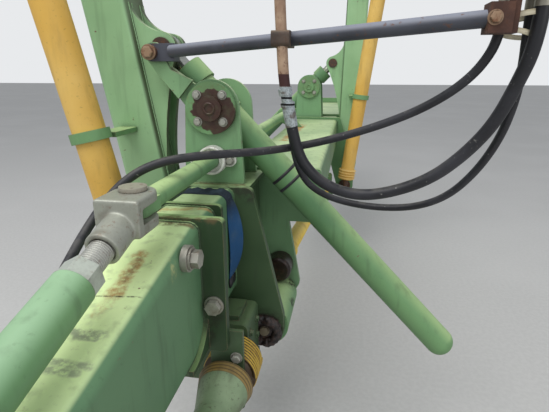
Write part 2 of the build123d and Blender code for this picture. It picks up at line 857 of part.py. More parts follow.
# Hose arm with its fork round the ear
def hose_arm():
    x, y, z = arm_fork
    ear_front = stations[0][2] - upright_gap / 2 - plate_thick - box_wall
    ear_back = ear_front + box_wall
    front_tine = (ear_front - seat_gap - plate_thick, ear_front - seat_gap)
    back_tine = (ear_back + seat_gap, ear_back + seat_gap + plate_thick)
    arm = bar(arm_start, arm_end, arm_radius)
    for y0, y1 in (front_tine, back_tine):
        arm += block(x, x + 56, y0, y1, z - 20, z + 20) + bar_along_y(x, z, y0, y1, 20)
    arm += block(x + 40, x + 56, front_tine[0], back_tine[1], z - 20, z + 20)
    hole = arm_bolt_radius + pin_gap
    return arm - bar_along_y(x, z, front_tine[0] - past, back_tine[1] + past, hole)


def arm_bolt():
    x, y, z = arm_fork
    ear_front = stations[0][2] - upright_gap / 2 - plate_thick - box_wall
    front = ear_front - 2 * seat_gap - plate_thick
    back = ear_front + box_wall + 2 * seat_gap + plate_thick
    bolt = bar_along_y(x, z, front - 14, back + 10, arm_bolt_radius)
    return bolt + bar_along_y(x, z, front - 14, front, 16) + bar_along_y(x, z, back, back + 10, 14)


# Post at the arm's end, with the plate that the hoses are screwed to
def hose_post():
    x, y, z = arm_end
    end = Vector(*arm_end)
    along = (end - Vector(*arm_start)).normalized()
    post = block(x - 14, x + 22, y - 20, y + 20, z - 24, z + 22)
    post -= bar(arm_start, end + along * seat_gap, arm_radius + seat_gap)
    post += block(x + 22, x + 32, y - 14, y + 14, z - 24, hose_plate_z)
    post += block(x + 2, x + 110, y - 34, y + 60, hose_plate_z, hose_plate_z + hose_plate_thick)
    for hole_x, hole_y, radius in plate_places.values():
        post -= bar(
            (hole_x, hole_y, hose_plate_z - past),
            (hole_x, hole_y, hose_plate_z + hose_plate_thick + past),
            coupling_neck + seat_gap,
        )
    return post


# Bulkhead couplings: a body below the plate, a neck through it and a nut on top
def plate_coupling(x, y, radius):
    plate_back = hose_plate_z + hose_plate_thick
    body = bar((x, y, hose_end_z), (x, y, hose_plate_z - seat_gap), radius)
    body += bar((x, y, hose_end_z), (x, y, plate_back + 22), coupling_neck)
    nut = extrude(Plane(origin=(x, y, plate_back + seat_gap)) * RegularPolygon(radius + 1, 6), amount=9)
    return body + nut


def through_flange_coupling():
    x, y, z = flange_coupling
    body = bar_along_y(x, z, flange_thick + seat_gap, y, 12)
    body += bar_along_y(x, z, -18, y, coupling_neck)
    nut_face = Plane(origin=(x, -seat_gap, z), z_dir=(0, -1, 0))
    return body + extrude(nut_face * RegularPolygon(13, 6), amount=9)


# A tube on a route of straight runs and tangent arcs
def tube_along(points, radius, node):
    corners = [Vector(*point) for point in points]
    radii = []
    for before, corner, after in zip(corners, corners[1:], corners[2:]):
        run_in = corner - before
        run_out = after - corner
        half_turn = math.radians(run_in.get_angle(run_out)) / 2
        radii.append(0.45 * min(run_in.length, run_out.length) / math.tan(half_turn))
    path = FilletPolyline(*points, radius=radii)
    tube = sweep(Plane(origin=path @ 0, z_dir=path % 0) * Circle(radius), path=path)
    share = tube.volume / (math.pi * radius**2 * path.length)
    print(node, "length", round(path.length), "radii", [round(r) for r in radii], "share", round(share, 4))
    return tube


# Clamp block that holds both pipes on the hose arm
def pipe_clamp():
    start, end = Vector(*arm_start), Vector(*arm_end)
    share = (pipe_clamp_x - start.X) / (end.X - start.X)
    middle = start + (end - start) * share
    body = block(pipe_clamp_x - 20, pipe_clamp_x + 16, 674, 758, middle.Z - 15, middle.Z + 15)
    body = fillet(body.edges().filter_by(Axis.X), 9)
    body -= bar(arm_start, arm_end, arm_radius + seat_gap)
    for radius, corners in pipes:
        body -= bar(corners[1], corners[2], radius + seat_gap)
    return body


# Nuts, sleeve and ferrule along a pipe's last run, ahead of its hose
def pipe_end_fittings(radius, corners):
    bend, end = Vector(*corners[2]), Vector(*corners[3])
    along = (end - bend).normalized()
    length = (end - bend).length
    rows = [(0.10, 0.26, 4.0), (0.44, 0.52, 4.5), (0.52, 1.0, 3.0)]  # start, end, proud
    fitting = None
    for first, last, proud in rows:
        piece = bar(bend + along * (first * length), bend + along * (last * length), radius + proud - 1)
        fitting = piece if fitting is None else fitting + piece
    return fitting


# Union nut that closes a pipe's top
def pipe_top_nut(radius, corners):
    top, below = Vector(*corners[0]), Vector(*corners[1])
    up = (top - below).normalized()
    face = Plane(origin=top - up * 22, z_dir=up)
    return extrude(face * RegularPolygon(radius + 5, 6), amount=30)


def strap():
    half = beam_half + seat_gap
    top = beam_rear_top + seat_gap
    loop = RectangleRounded(2 * (half + strap_thick), 2 * (top + strap_thick), beam_corner + strap_thick)
    loop -= RectangleRounded(2 * half, 2 * top, beam_corner)
    band = across(loop, strap_front, strap_wide)
    back = strap_front + strap_wide + past
    band -= block(-200, 0, strap_front - past, back, -300, strap_left_tip)
    return band - block(0, 200, strap_front - past, back, -300, strap_tip)


# Build and write every piece
save(front_flange(), "front_flange")
save(front_beam(), "front_beam")
save(collar(), "collar")
save(neck_rib(), "neck_rib")
save(tower_web(web_front, *front_web_shape), "tower_front_web")
save(rear_web_of_tower(), "tower_rear_web")
save(tower_box(), "tower_box")
save(pivot_tube(), "pivot_tube")
save(rear_beam(), "rear_beam")
save(rear_flange(), "rear_flange")

# From a trunnion to its cylinder's eye, which pulls on the boom's lugs
def eye_run(side, trunnion_x, fold_x, lean):
    turn = math.radians(lean)
    eye_x = fold_x + side * (lug_along * math.sin(turn) - lug_out * math.cos(turn))
    eye_z = fold_high + lug_along * math.cos(turn) + lug_out * math.sin(turn)
    return trunnion_x - eye_x, trunnion_high - eye_z


eye_distances = [math.hypot(*eye_run(side, *places)) for _, side, _, *places, _ in stations]
barrel_head = min(eye_distances) - eye_clear

uprights = []
bearings = []
fold_pins = []
for name, side, middle, trunnion_x, fold_x, lean, shaft_lean in stations:
    foot = box_top if side < 0 else rear_top
    front_face = middle - upright_gap / 2 - plate_thick
    back_face = middle + upright_gap / 2 + plate_thick
    front_upright = upright(trunnion_x, front_face, foot, side < 0)
    if side < 0:
        front_upright += hose_ear(front_face)
    uprights += [front_upright, upright(trunnion_x, middle + upright_gap / 2, foot, side < 0)]
    bearings += [bearing(trunnion_x, front_face, -1), bearing(trunnion_x, back_face, 1)]
    outer = web_gap / 2 + web_thick
    pin_places = (fold_x, -fold_x) if side < 0 else (fold_x,)
    fold_pins += [fold_pin(x, middle - outer, middle + outer) for x in pin_places]

    place = (side, fold_x, middle, lean)
    save(lean_out(boom(side), *place), f"{name}_boom")
    save_set([lean_out(half, *place) for half in ram_pin(side)], f"{name}_ram_pin")
    joint_y = middle - joint_ahead
    save(lean_out(shaft_guard_tube(), side, fold_x, joint_y, shaft_lean), f"{name}_shaft_guard")
    save(lean_out(boom_shaft(), side, fold_x, joint_y, shaft_lean), f"{name}_boom_shaft")
    save_set(shaft_clips(side, fold_x, middle, lean, shaft_lean, joint_y), f"{name}_shaft_clips")

    run = eye_run(side, trunnion_x, fold_x, lean)
    distance = math.hypot(*run)
    pitch = math.degrees(math.atan2(run[1], run[0]))
    on_trunnion = Pos(trunnion_x, middle, trunnion_high) * Rot(0, -pitch, 0)
    save(on_trunnion * barrel(barrel_head), f"{name}_lift_barrel")
    save_set([on_trunnion * piece for piece in ram(distance)], f"{name}_lift_ram")
    print(name, "from the eye to the trunnion", round(distance, 2))

save_set(uprights, "uprights")
save_set(bearings, "trunnion_bearings")
save_set(fold_pins, "fold_pins")
rear_web_fronts = (rear_middle - web_gap / 2 - web_thick, rear_middle + web_gap / 2)
save_set([rear_station_web(front, stations[1][4]) for front in rear_web_fronts], "rear_webs")

save(gearbox(-1, stations[0][4], front_joint_y, -62.0, 125.0, beam_bottom, -100.0), "front_gearbox")
save(gearbox(1, stations[1][4], rear_joint_y, 120.0, 242.0, rear_bottom, -120.0), "rear_gearbox")
save(joint_yoke(-1, stations[0][4], front_joint_y), "front_joint_yoke")
save(joint_yoke(1, stations[1][4], rear_joint_y), "rear_joint_yoke")
save(guide_ring(stations[0][2] - upright_gap / 2 - plate_thick), "guide_ring")
save(link_bearing(), "link_bearing")
save(link_guard(), "link_guard")
save(shaft_bracket(), "shaft_bracket")
save(input_guard(), "input_guard")
save(drive_bellows(), "drive_bellows")
save(input_shaft(), "input_shaft")
save(steering_rod(), "steering_rod")
save(rear_guide(), "rear_guide")
save(clevis(), "clevis")
save(clevis_pin(), "clevis_pin")
save(turnbuckle(), "turnbuckle")
save(turnbuckle_rod(), "turnbuckle_rod")
save(lock_nut(), "lock_nut")
save(hose_arm(), "hose_arm")
save(hose_post(), "hose_post")
save(arm_bolt(), "arm_bolt")
save_set(clamp_bolts(), "clamp_bolts")
save(strap(), "strap")

couplings = [plate_coupling(*place) for place in plate_places.values()]
save_set(couplings + [through_flange_coupling()], "hose_couplings")
thin_pipes = []
for radius, corners in pipes:
    pipe = tube_along(corners, radius, "pipe")
    thin_pipes.append(pipe + pipe_end_fittings(radius, corners) + pipe_top_nut(radius, corners))
save_set(thin_pipes, "thin_pipes")
save(pipe_clamp(), "pipe_clamp")
for node, radius, start, corners in hoses:
    save(tube_along(start + corners, radius, node), node)
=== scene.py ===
import json
import math
from collections import namedtuple
import bmesh
import bpy
from mathutils import Matrix, Vector


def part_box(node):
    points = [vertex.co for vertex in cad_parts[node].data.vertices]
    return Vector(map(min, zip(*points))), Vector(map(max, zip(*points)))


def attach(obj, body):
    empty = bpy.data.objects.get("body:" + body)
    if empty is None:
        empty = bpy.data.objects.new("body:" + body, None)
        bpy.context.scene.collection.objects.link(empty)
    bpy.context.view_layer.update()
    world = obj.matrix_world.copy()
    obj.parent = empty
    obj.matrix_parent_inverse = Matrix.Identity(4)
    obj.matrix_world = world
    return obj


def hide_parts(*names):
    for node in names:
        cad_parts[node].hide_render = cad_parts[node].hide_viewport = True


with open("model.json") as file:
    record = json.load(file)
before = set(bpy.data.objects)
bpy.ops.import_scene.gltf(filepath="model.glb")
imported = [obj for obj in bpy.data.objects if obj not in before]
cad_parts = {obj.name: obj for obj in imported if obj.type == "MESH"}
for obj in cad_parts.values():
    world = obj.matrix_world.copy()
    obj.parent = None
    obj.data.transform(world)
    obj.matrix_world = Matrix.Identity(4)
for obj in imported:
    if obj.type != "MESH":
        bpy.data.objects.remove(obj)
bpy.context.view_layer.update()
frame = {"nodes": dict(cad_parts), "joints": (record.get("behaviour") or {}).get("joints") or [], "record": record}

# Centre frame of a folding rake, dressed over its CAD model. Metres, in the CAD's own frame.
nodes = frame["nodes"]
joints = {joint["name"]: joint for joint in frame["joints"]}
bpy.context.scene.view_settings.view_transform = "Standard"


def placed(name, data):  # an object for a mesh, a curve, a lamp or a camera
    holder = bpy.data.objects.new(name, data)
    bpy.context.scene.collection.objects.link(holder)
    return holder


def grown(holder):  # what the holder's modifiers make of it, as a plain mesh
    mesh = bpy.data.meshes.new_from_object(holder.evaluated_get(bpy.context.evaluated_depsgraph_get()))
    bpy.data.objects.remove(holder)
    return mesh


# Camera: ahead of the front beam and to its right, it looks back along the frame and down
cameraSetup = {"place": (0.335, -0.200, 0.460), "down": 17.308, "left": 9.887, "lens": 28.2, "nearest": 0.01}
cameraData = bpy.data.cameras.new("frameCamera")
cameraData.lens = cameraSetup["lens"]
cameraData.clip_start = cameraSetup["nearest"]
camera = placed("frameCamera", cameraData)
camera.location = cameraSetup["place"]
camera.rotation_euler = (math.radians(90 - cameraSetup["down"]), 0, math.radians(cameraSetup["left"]))
bpy.context.scene.camera = camera


def paintCode(red, green, blue, lift=1.0):  # a colour as it is written on a screen, made linear
    def linear(part):
        share = part / 255
        straight = share / 12.92 if share <= 0.04045 else ((share + 0.055) / 1.055) ** 2.4
        return min(1.0, straight * lift)
    return (linear(red), linear(green), linear(blue), 1.0)


class Value:  # a socket that adds its own Math nodes
    def __init__(self, maker, socket):
        self.maker = maker
        self.socket = socket

    def sum(self, operation, first, second=0.0):
        return self.maker.node("ShaderNodeMath", {"operation": operation}, {0: first, 1: second})

    def __add__(self, other):
        return self.sum("ADD", self, other)

    def __radd__(self, other):
        return self.sum("ADD", other, self)

    def __sub__(self, other):
        return self.sum("SUBTRACT", self, other)

    def __rsub__(self, other):
        return self.sum("SUBTRACT", other, self)

    def __mul__(self, other):
        return self.sum("MULTIPLY", self, other)

    def __rmul__(self, other):
        return self.sum("MULTIPLY", other, self)

    def __truediv__(self, other):
        return self.sum("DIVIDE", self, other)

    def sine(self):
        return self.sum("SINE", self)

    def top(self, other):  # the larger of the two
        return self.sum("MAXIMUM", self, other)

    def rise(self, low, high):  # 0 below low, 1 above high, smooth between
        return self.maker.node(
            "ShaderNodeMapRange",
            {"interpolation_type": "SMOOTHSTEP"},
            {"Value": self, "From Min": low, "From Max": high},
            "Result",
        )


class NodeMaker:  # adds the nodes of one tree, in a material or a modifier
    def __init__(self, tree):
        self.tree = tree

    def node(self, kind, settings=None, sockets=None, out=0):
        made = self.tree.nodes.new(kind)
        for key, setting in (settings or {}).items():
            setattr(made, key, setting)
        for key, entry in (sockets or {}).items():
            if isinstance(entry, Value):
                self.tree.links.new(entry.socket, made.inputs[key])
            else:
                made.inputs[key].default_value = entry
        return Value(self, made.outputs[out]) if made.outputs else None

    def vector(self, operation, sockets, out=0):
        return self.node("ShaderNodeVectorMath", {"operation": operation}, sockets, out)


class Finish(NodeMaker):  # one material and the few moves that every finish is made of
    def __init__(self, name):
        self.material = bpy.data.materials.new(name)
        self.material.use_nodes = True
        super().__init__(self.material.node_tree)
        self.tree.nodes.clear()
        self.spot = self.node("ShaderNodeTexCoord", out="Object")

    def reading(self, axis):  # how far along one axis the spot is
        return self.node("ShaderNodeSeparateXYZ", None, {0: self.spot}, axis)

    def noise(self, scale, detail, rough=0.5):  # scale is a number, or one for each axis
        spot = self.spot
        if isinstance(scale, tuple):
            spot = self.vector("MULTIPLY", {0: spot, 1: scale})
            scale = 1.0
        sockets = {"Vector": spot, "Scale": scale, "Detail": detail, "Roughness": rough}
        return self.node("ShaderNodeTexNoise", None, sockets)

    def cells(self, scale):
        return self.node("ShaderNodeTexVoronoi", None, {"Vector": self.spot, "Scale": scale})

    def wave(self, scale, bend, axis, spot=None):
        sockets = {"Vector": spot or self.spot, "Scale": scale, "Distortion": bend}
        return self.node("ShaderNodeTexWave", {"bands_direction": axis}, sockets, "Fac")

    def mix(self, share, *colours):  # colours as triples or as links
        first, second = (paintCode(*entry) if isinstance(entry, tuple) else entry for entry in colours)
        return self.node("ShaderNodeMix", {"data_type": "RGBA"}, {0: share, 6: first, 7: second}, 2)

    def facing(self, axis):  # how much the surface faces along an axis, -1 to 1
        normal = self.node("ShaderNodeTexCoord", out="Normal")
        return self.node("ShaderNodeSeparateXYZ", None, {0: normal}, axis)

    def edge(self, width):  # 1 along sharp edges, 0 on open faces
        soft = self.node("ShaderNodeBevel", {"samples": 4}, {"Radius": width})
        hard = self.node("ShaderNodeNewGeometry", out="Normal")
        same = self.vector("DOT_PRODUCT", {0: soft, 1: hard}, "Value")
        return (1 - same).rise(0.02, 0.25)

    def crevice(self, reach):  # 1 deep in a corner, 0 on an open face
        hollow = self.node("ShaderNodeAmbientOcclusion", {"samples": 4}, {"Distance": reach}, "AO")
        return 1 - hollow.rise(0.35, 0.85)

    def near(self, start, end, reach, blur=0.0):  # 1 on the line from start to end, 0 at reach from it
        start, end = Vector(start), Vector(end)
        run = end - start
        spot = self.spot
        if blur:
            wander = self.node("ShaderNodeTexNoise", None, {"Vector": self.spot, "Scale": 40.0}, "Color")
            wander = self.vector("SUBTRACT", {0: wander, 1: (0.5, 0.5, 0.5)})
            spot = self.vector("ADD", {0: spot, 1: self.vector("SCALE", {0: wander, "Scale": blur})})
        offset = self.vector("SUBTRACT", {0: spot, 1: start})
        share = self.vector("DOT_PRODUCT", {0: offset, 1: run}, "Value")
        share = self.node("ShaderNodeClamp", None, {0: share / run.length_squared})
        foot = self.vector("SCALE", {0: tuple(run), "Scale": share})
        gap = self.vector("DISTANCE", {0: offset, 1: foot}, "Value")
        return 1 - gap.rise(reach * 0.35, reach)

    def done(self, colour, rough, height, strength, depth, metal=0.0, edge=0.0):
        bump = {"Height": height, "Strength": strength, "Distance": depth}
        if edge:  # light rounds the sharp edges
            bump["Normal"] = self.node("ShaderNodeBevel", {"samples": 4}, {"Radius": edge})
        normal = self.node("ShaderNodeBump", None, bump)
        sockets = {"Base Color": colour, "Roughness": rough, "Metallic": metal, "Normal": normal}
        surface = self.node("ShaderNodeBsdfPrincipled", None, sockets)
        self.node("ShaderNodeOutputMaterial", None, {"Surface": surface})
        return self.material


# Paint: faded on top and painted sunlit there, grimy runs down the sides, painted shade on faces that look down,
# painted shade and dirt in the corners, chipped along the edges with a painted highlight along them
greenPaint = {
    "base": (114, 156, 104),
    "deep": (92, 136, 90),
    "sunny": (184, 210, 146),
    # dirt is the colour of the grimy runs and specks and of the painted shade
    "dirt": (62, 74, 54),
    "chip": (120, 98, 78),
    # strength of the grimy runs and specks and of the painted shade on faces that look down
    "grime": 0.55,
    "wear": 0.75,
    "corners": 1.0,  # painted shade and dirt where plates meet
    "flat": (0.25, 0.95),  # how level a face has to be for sun fading and painted sunlight
    "fade": (),  # greener along these axes, from start to end: less sun fading and painted sunlight
    "inner": 0.0,  # the side along X that is grimy and in painted shade, 1 or -1
}


def repaint(paint, base, deep, sunny, **more):
    return {**paint, "base": base, "deep": deep, "sunny": sunny, **more}


# Lighter and darker copies of the green paint, one for each piece: painted light and painted shade, matched to how
# lit each piece is
beamPaint = repaint(greenPaint, (96, 134, 96), (80, 118, 84), (234, 255, 186), corners=0.45,
                    flat=(0.80, 0.985), fade=(("X", 0.012, 0.052), ("Y", 0.36, 0.53)))
boomPaint = repaint(greenPaint, (162, 202, 152), (146, 188, 138), (206, 228, 176), grime=0.4)
towerPaint = repaint(greenPaint, (66, 90, 58), (54, 78, 48), (168, 194, 138), grime=0.85)
collarPaint = repaint(greenPaint, (45, 71, 41), (36, 58, 34), (150, 180, 118), grime=0.7)
shadedPaint = repaint(towerPaint, (66, 90, 58), (54, 78, 48), (92, 112, 76))
bracketPaint = repaint(towerPaint, (98, 122, 92), (54, 78, 48), (92, 112, 76))
rearWebPaint = repaint(towerPaint, (116, 154, 112), (100, 138, 96), (168, 194, 138))
seamPaint = repaint(greenPaint, (84, 120, 78), (70, 104, 66), (138, 164, 108), grime=0.9)
uprightPaint = repaint(greenPaint, (138, 178, 130), (120, 162, 116), (198, 214, 168))
rearPaint = repaint(greenPaint, (92, 124, 84), (92, 136, 90), (202, 222, 168))
turnbucklePaint = repaint(greenPaint, (114, 156, 104), (92, 136, 90), (152, 188, 148))
# colour of the painted shade and dirt on a boom's inner side
innerShadeAndGrime = (74, 84, 58)


def greenFinish(name, look, marks=()):
    s = Finish(name)
    cloudy = s.noise(3.2, 4)
    fine = s.noise(170, 8, rough=0.6)
    up = s.facing("Z")
    # faces that look up turn paler: sun fading and painted sunlight
    sunny = up.rise(*look["flat"]) * (0.6 + 0.38 * cloudy.rise(0.35, 0.65))
    for axis, start, end in look["fade"]:
        sunny = sunny * (1 - s.reading(axis).rise(start, end) * 0.3)
    colour = s.mix(cloudy.rise(0.38, 0.62), look["deep"], look["base"])
    colour = s.mix(sunny, colour, look["sunny"])
    runs = s.noise((42, 42, 5), 5).rise(0.5, 0.78)
    specks = s.noise(95, 9, rough=0.7).rise(0.56, 0.74)
    # grimy runs and specks, and painted shade on faces that look down
    shade = (runs * 0.6).top(specks * 0.5).top(up.rise(0.2, -0.7) * 0.35) * look["grime"]
    # painted shade and dirt in the corners
    shade = shade.top(s.crevice(0.030) * (0.3 + 0.5 * cloudy.rise(0.3, 0.6)) * look["corners"])
    colour = s.mix(shade, colour, look["dirt"])
    edge = s.edge(0.0035)
    worn = edge * s.noise(38, 5).rise(0.46, 0.6) * look["wear"]
    chips = s.noise(52, 6, rough=0.65).rise(0.685, 0.715)
    # a painted highlight along the edges
    colour = s.mix(edge * 0.3, colour, look["sunny"])
    colour = s.mix(worn.top(chips), colour, look["chip"])
    rough = 0.4 + 0.22 * cloudy + 0.25 * shade + 0.2 * worn
    height = fine * 0.35 + s.noise(14, 3) - chips * 0.6 - worn * 0.5
    if look["inner"]:
        # painted shade and grimy dirt on the inner side
        side = (s.facing("X") * look["inner"]).rise(0.35, 0.9) * (0.55 + 0.45 * cloudy.rise(0.3, 0.6))
        colour = s.mix(side, colour, innerShadeAndGrime)
    for stain in marks:
        near = s.near(stain.start, stain.end, stain.reach, stain.blur)
        broken = near * s.noise(stain.grain, 6, rough=0.65).rise(*stain.edge) * stain.strength
        colour = s.mix(broken, colour, stain.colour)
        rough = rough + broken * 0.25
    return s.done(colour, rough, height, 0.22, 0.0012, edge=0.0016)


# Stains, each along a line: rust, grey scuffs, grease and the dirt beside a weld
stainParts = "start end reach colour strength blur grain edge"
Stain = namedtuple("Stain", stainParts, defaults=(0.02, 70, (0.34, 0.6)))
rust = (176, 122, 62)
darkRust = (112, 70, 42)
rubbed = (138, 146, 126)
grease = (38, 27, 24)
seamDirt = (104, 88, 58)
weldDirt = (176, 176, 122)
beamTop = {"foot": 0.087, "slope": 0.185}  # the front beam's top rises towards the tower
scuffs = ((0.243, -0.019, 0.028, 0.011), (0.234, -0.006, 0.022, 0.007),  # along, left, right, reach
          (0.193, -0.012, 0.040, 0.009), (0.181, -0.010, 0.030, 0.009))
beamMarks = [
    Stain((-0.002, 0.423, 0.165), (0.004, 0.325, 0.147), 0.019, rust, 0.85, grain=110, edge=(0.25, 0.7)),
    Stain((-0.001, 0.412, 0.163), (0.002, 0.352, 0.152), 0.011, darkRust, 0.6, grain=150, edge=(0.3, 0.7)),
    Stain((0.004, 0.325, 0.147), (0.001, 0.279, 0.139), 0.014, rust, 0.5, grain=130, edge=(0.3, 0.8)),
]
for y, left, right, reach in scuffs:
    high = beamTop["foot"] + beamTop["slope"] * y
    beamMarks.append(Stain((left, y, high), (right, y, high), reach, rubbed, 0.75, 0.009, 90, (0.3, 0.62)))
beamMarks += [
    Stain((-0.030, 0.314, 0.143), (0.048, 0.321, 0.145), 0.0022, grease, 0.9, blur=0.003),
    Stain((0.056, 0.420, 0.160), (0.062, 0.405, 0.130), 0.011, weldDirt, 0.8, grain=60),
    Stain((-0.055, 0.528, 0.186), (0.058, 0.530, 0.186), 0.014, seamDirt, 0.9),
    Stain((-0.05, 0.60, 0.187), (0.05, 0.625, 0.187), 0.016, rust, 0.6),
]
collarMarks = [
    Stain((-0.10, 0.536, 0.194), (0.10, 0.538, 0.194), 0.010, seamDirt, 0.8),
    Stain((0.064, 0.536, -0.07), (0.090, 0.536, 0.0), 0.022, grease, 0.5),
]
towerMarks = [
    Stain((-0.05, 0.69, 0.187), (-0.02, 0.71, 0.187), 0.03, rust, 0.7),
    Stain((0.06, 0.79, 0.19), (0.10, 0.79, 0.17), 0.03, grease, 0.6),
    Stain((0.137, 0.79, -0.20), (0.137, 0.80, -0.20), 0.075, grease, 0.9),
]
boxMarks = [Stain((-0.07, 0.812, 0.190), (0.07, 0.814, 0.190), 0.020, seamDirt, 0.85)]
pivotMarks = [
    Stain((0.120, 0.985, -0.14), (0.175, 0.995, -0.155), 0.045, grease, 1.0),
    Stain((0.19, 0.90, -0.18), (0.196, 0.93, -0.19), 0.016, grease, 0.9),
]
rearMarks = [
    Stain((0.07, 1.55, 0.192), (0.09, 2.1, 0.192), 0.028, rust, 0.9, grain=30),
    Stain((0.15, 1.25, 0.192), (0.16, 1.40, 0.192), 0.02, rust, 0.7, grain=40),
]


def zincFinish(name, tint, metal=0.75, rusty=0.0):
    s = Finish(name)
    spangle = s.cells(230)
    cloudy = s.noise(28, 5)
    colour = s.mix(spangle.rise(0.1, 0.8) * 0.6, tint, (*tint, 1.12))  # the same tint, 12% brighter
    colour = s.mix(cloudy.rise(0.5, 0.75) * 0.55, colour, (112, 104, 90))
    bitten = s.noise(70, 8, rough=0.7).rise(0.56 - 0.1 * rusty, 0.66) * (0.35 + 0.6 * rusty)
    colour = s.mix(bitten, colour, (112, 70, 44))
    # painted shade in the crevices round the part
    colour = s.mix(s.crevice(0.008) * 0.75, colour, (58, 50, 42))
    rough = 0.36 + 0.25 * cloudy + 0.3 * bitten
    height = s.noise(130, 6) + spangle * 0.3 - bitten * 0.5
    return s.done(colour, rough, height, 0.3, 0.0006, metal=metal - 0.5 * rusty, edge=0.0008)


def greasyFinish(name, base, line, reach, rusty=0.6, disc=0.0, film=grease):  # a greasy film round a line
    s = Finish(name)
    cloudy = s.noise(20, 5)
    colour = s.mix(cloudy.rise(0.35, 0.65) * rusty, base, (92, 62, 48))
    wet = s.near(*line, reach, 0.045)
    blot = wet.rise(0.3, 0.42) * (0.9 + 0.1 * s.noise(60, 6).rise(0.3, 0.6))
    colour = s.mix(blot, colour, film)
    rusted = s.noise(85, 8, rough=0.7).rise(0.52, 0.62) * rusty
    colour = s.mix(rusted * (1 - blot * 0.6), colour, (124, 78, 50))
    if disc:  # a paler worn disc in the middle
        worn = s.near(*line, disc).rise(0.05, 0.12) * 0.75
        colour = s.mix(worn, colour, (122, 112, 90))
    rough = 0.62 - 0.34 * blot + 0.15 * rusted
    height = s.noise(60, 7, rough=0.65) * (0.4 + blot) + s.noise(240, 3) * 0.2
    return s.done(colour, rough, height, 0.5, 0.002, metal=0.15, edge=0.001)


def plasticFinish(name, tint, faded, dirt):
    s = Finish(name)
    cloudy = s.noise(6, 4)
    colour = s.mix(cloudy.rise(0.35, 0.7), tint, faded)
    dusty = s.facing("Z").rise(0.2, 0.95) * 0.4
    colour = s.mix(dusty, colour, (214, 196, 146))
    stains = s.noise((26, 26, 6), 6).rise(0.5, 0.75) * 0.45
    specks = s.noise(120, 9, rough=0.7).rise(0.57, 0.7) * 0.5
    colour = s.mix(stains.top(specks), colour, dirt)
    rough = 0.5 + 0.2 * cloudy + 0.2 * specks
    return s.done(colour, rough, s.noise(210, 6) + s.noise(20, 3) * 0.6, 0.2, 0.0008, edge=0.0012)


# Input guard: an ochre tube, a pale green bowl at its rear end, a brown ring on the bowl's rim
bowlPlan = {"bowl": 0.380, "ring": 0.512, "blend": 0.003}  # along Y


def bowlFinish(name, plan):
    s = Finish(name)
    back = s.reading("Y")
    cloudy = s.noise(9, 5)
    colour = s.mix(cloudy.rise(0.35, 0.7), (214, 168, 60), (226, 186, 86))
    bowl = s.mix(cloudy.rise(0.3, 0.7), (108, 130, 96), (146, 166, 130))
    colour = s.mix(back.rise(plan["bowl"], plan["bowl"] + plan["blend"]), colour, bowl)
    grooves = s.wave(42, 0.5, "Y").rise(0.55, 0.9) * 0.7
    ring = s.mix(grooves, (142, 118, 64), (58, 44, 26))
    colour = s.mix(back.rise(plan["ring"], plan["ring"] + plan["blend"] / 2), colour, ring)
    stains = s.noise((30, 8, 30), 6).rise(0.46, 0.72) * 0.6
    specks = s.noise(120, 9, rough=0.7).rise(0.55, 0.68) * 0.7
    colour = s.mix(stains.top(specks), colour, (70, 64, 44))
    return s.done(colour, 0.5 + 0.3 * stains, s.noise(190, 6) + s.noise(20, 3), 0.25, 0.001, edge=0.0012)


def rubberFinish(name, tint, dusty):
    s = Finish(name)
    cloudy = s.noise(9, 5)
    colour = s.mix(cloudy.rise(0.4, 0.7), tint, (50, 50, 56))
    dust = s.facing("Z").rise(0.35, 1.0) * s.noise(45, 6).rise(0.35, 0.65) * dusty
    colour = s.mix(dust, colour, (132, 128, 118))
    scuffs = s.noise((160, 30, 160), 7).rise(0.66, 0.74) * 0.5
    colour = s.mix(scuffs, colour, (150, 148, 142))
    rough = 0.38 + 0.25 * cloudy + 0.3 * dust
    return s.done(colour, rough, s.noise(320, 5) + scuffs, 0.25, 0.0005)


def barFinish(name):  # black paint, rusty in spots, paler on top as a painted highlight
    s = Finish(name)
    cloudy = s.noise(12, 5)
    colour = s.mix(cloudy.rise(0.35, 0.65), (58, 60, 68), (74, 76, 86))
    # faces that look up paler: a painted highlight
    colour = s.mix(s.facing("Z").rise(-0.1, 0.9) * 0.6, colour, (158, 162, 176))
    spots = s.noise(75, 8, rough=0.7).rise(0.6, 0.66) * 0.7
    colour = s.mix(spots, colour, (108, 72, 52))
    rough = 0.42 + 0.2 * cloudy + 0.25 * spots
    return s.done(colour, rough, s.noise(150, 6) - spots, 0.3, 0.0008, edge=0.001)


def rustyFinish(name, tint, flake):
    s = Finish(name)
    cloudy = s.noise(24, 6, rough=0.6)
    colour = s.mix(cloudy.rise(0.35, 0.65), tint, flake)
    colour = s.mix(s.noise(140, 9, rough=0.75).rise(0.52, 0.66) * 0.7, colour, (84, 50, 34))
    colour = s.mix(s.facing("Z").rise(0.4, 1.0) * 0.25, colour, (196, 172, 140))
    height = s.noise(170, 8, rough=0.7)
    return s.done(colour, 0.66 + 0.2 * cloudy, height, 0.45, 0.0012, metal=0.1, edge=0.001)


# Thin pipes: tan at the top, a dark sleeve, then plated fittings with black rings
pipePlan = {"sleeve": 0.455, "fitting": 0.431, "rings": (0.3945, 0.4075), "ringTall": 0.004, "blend": 0.002}


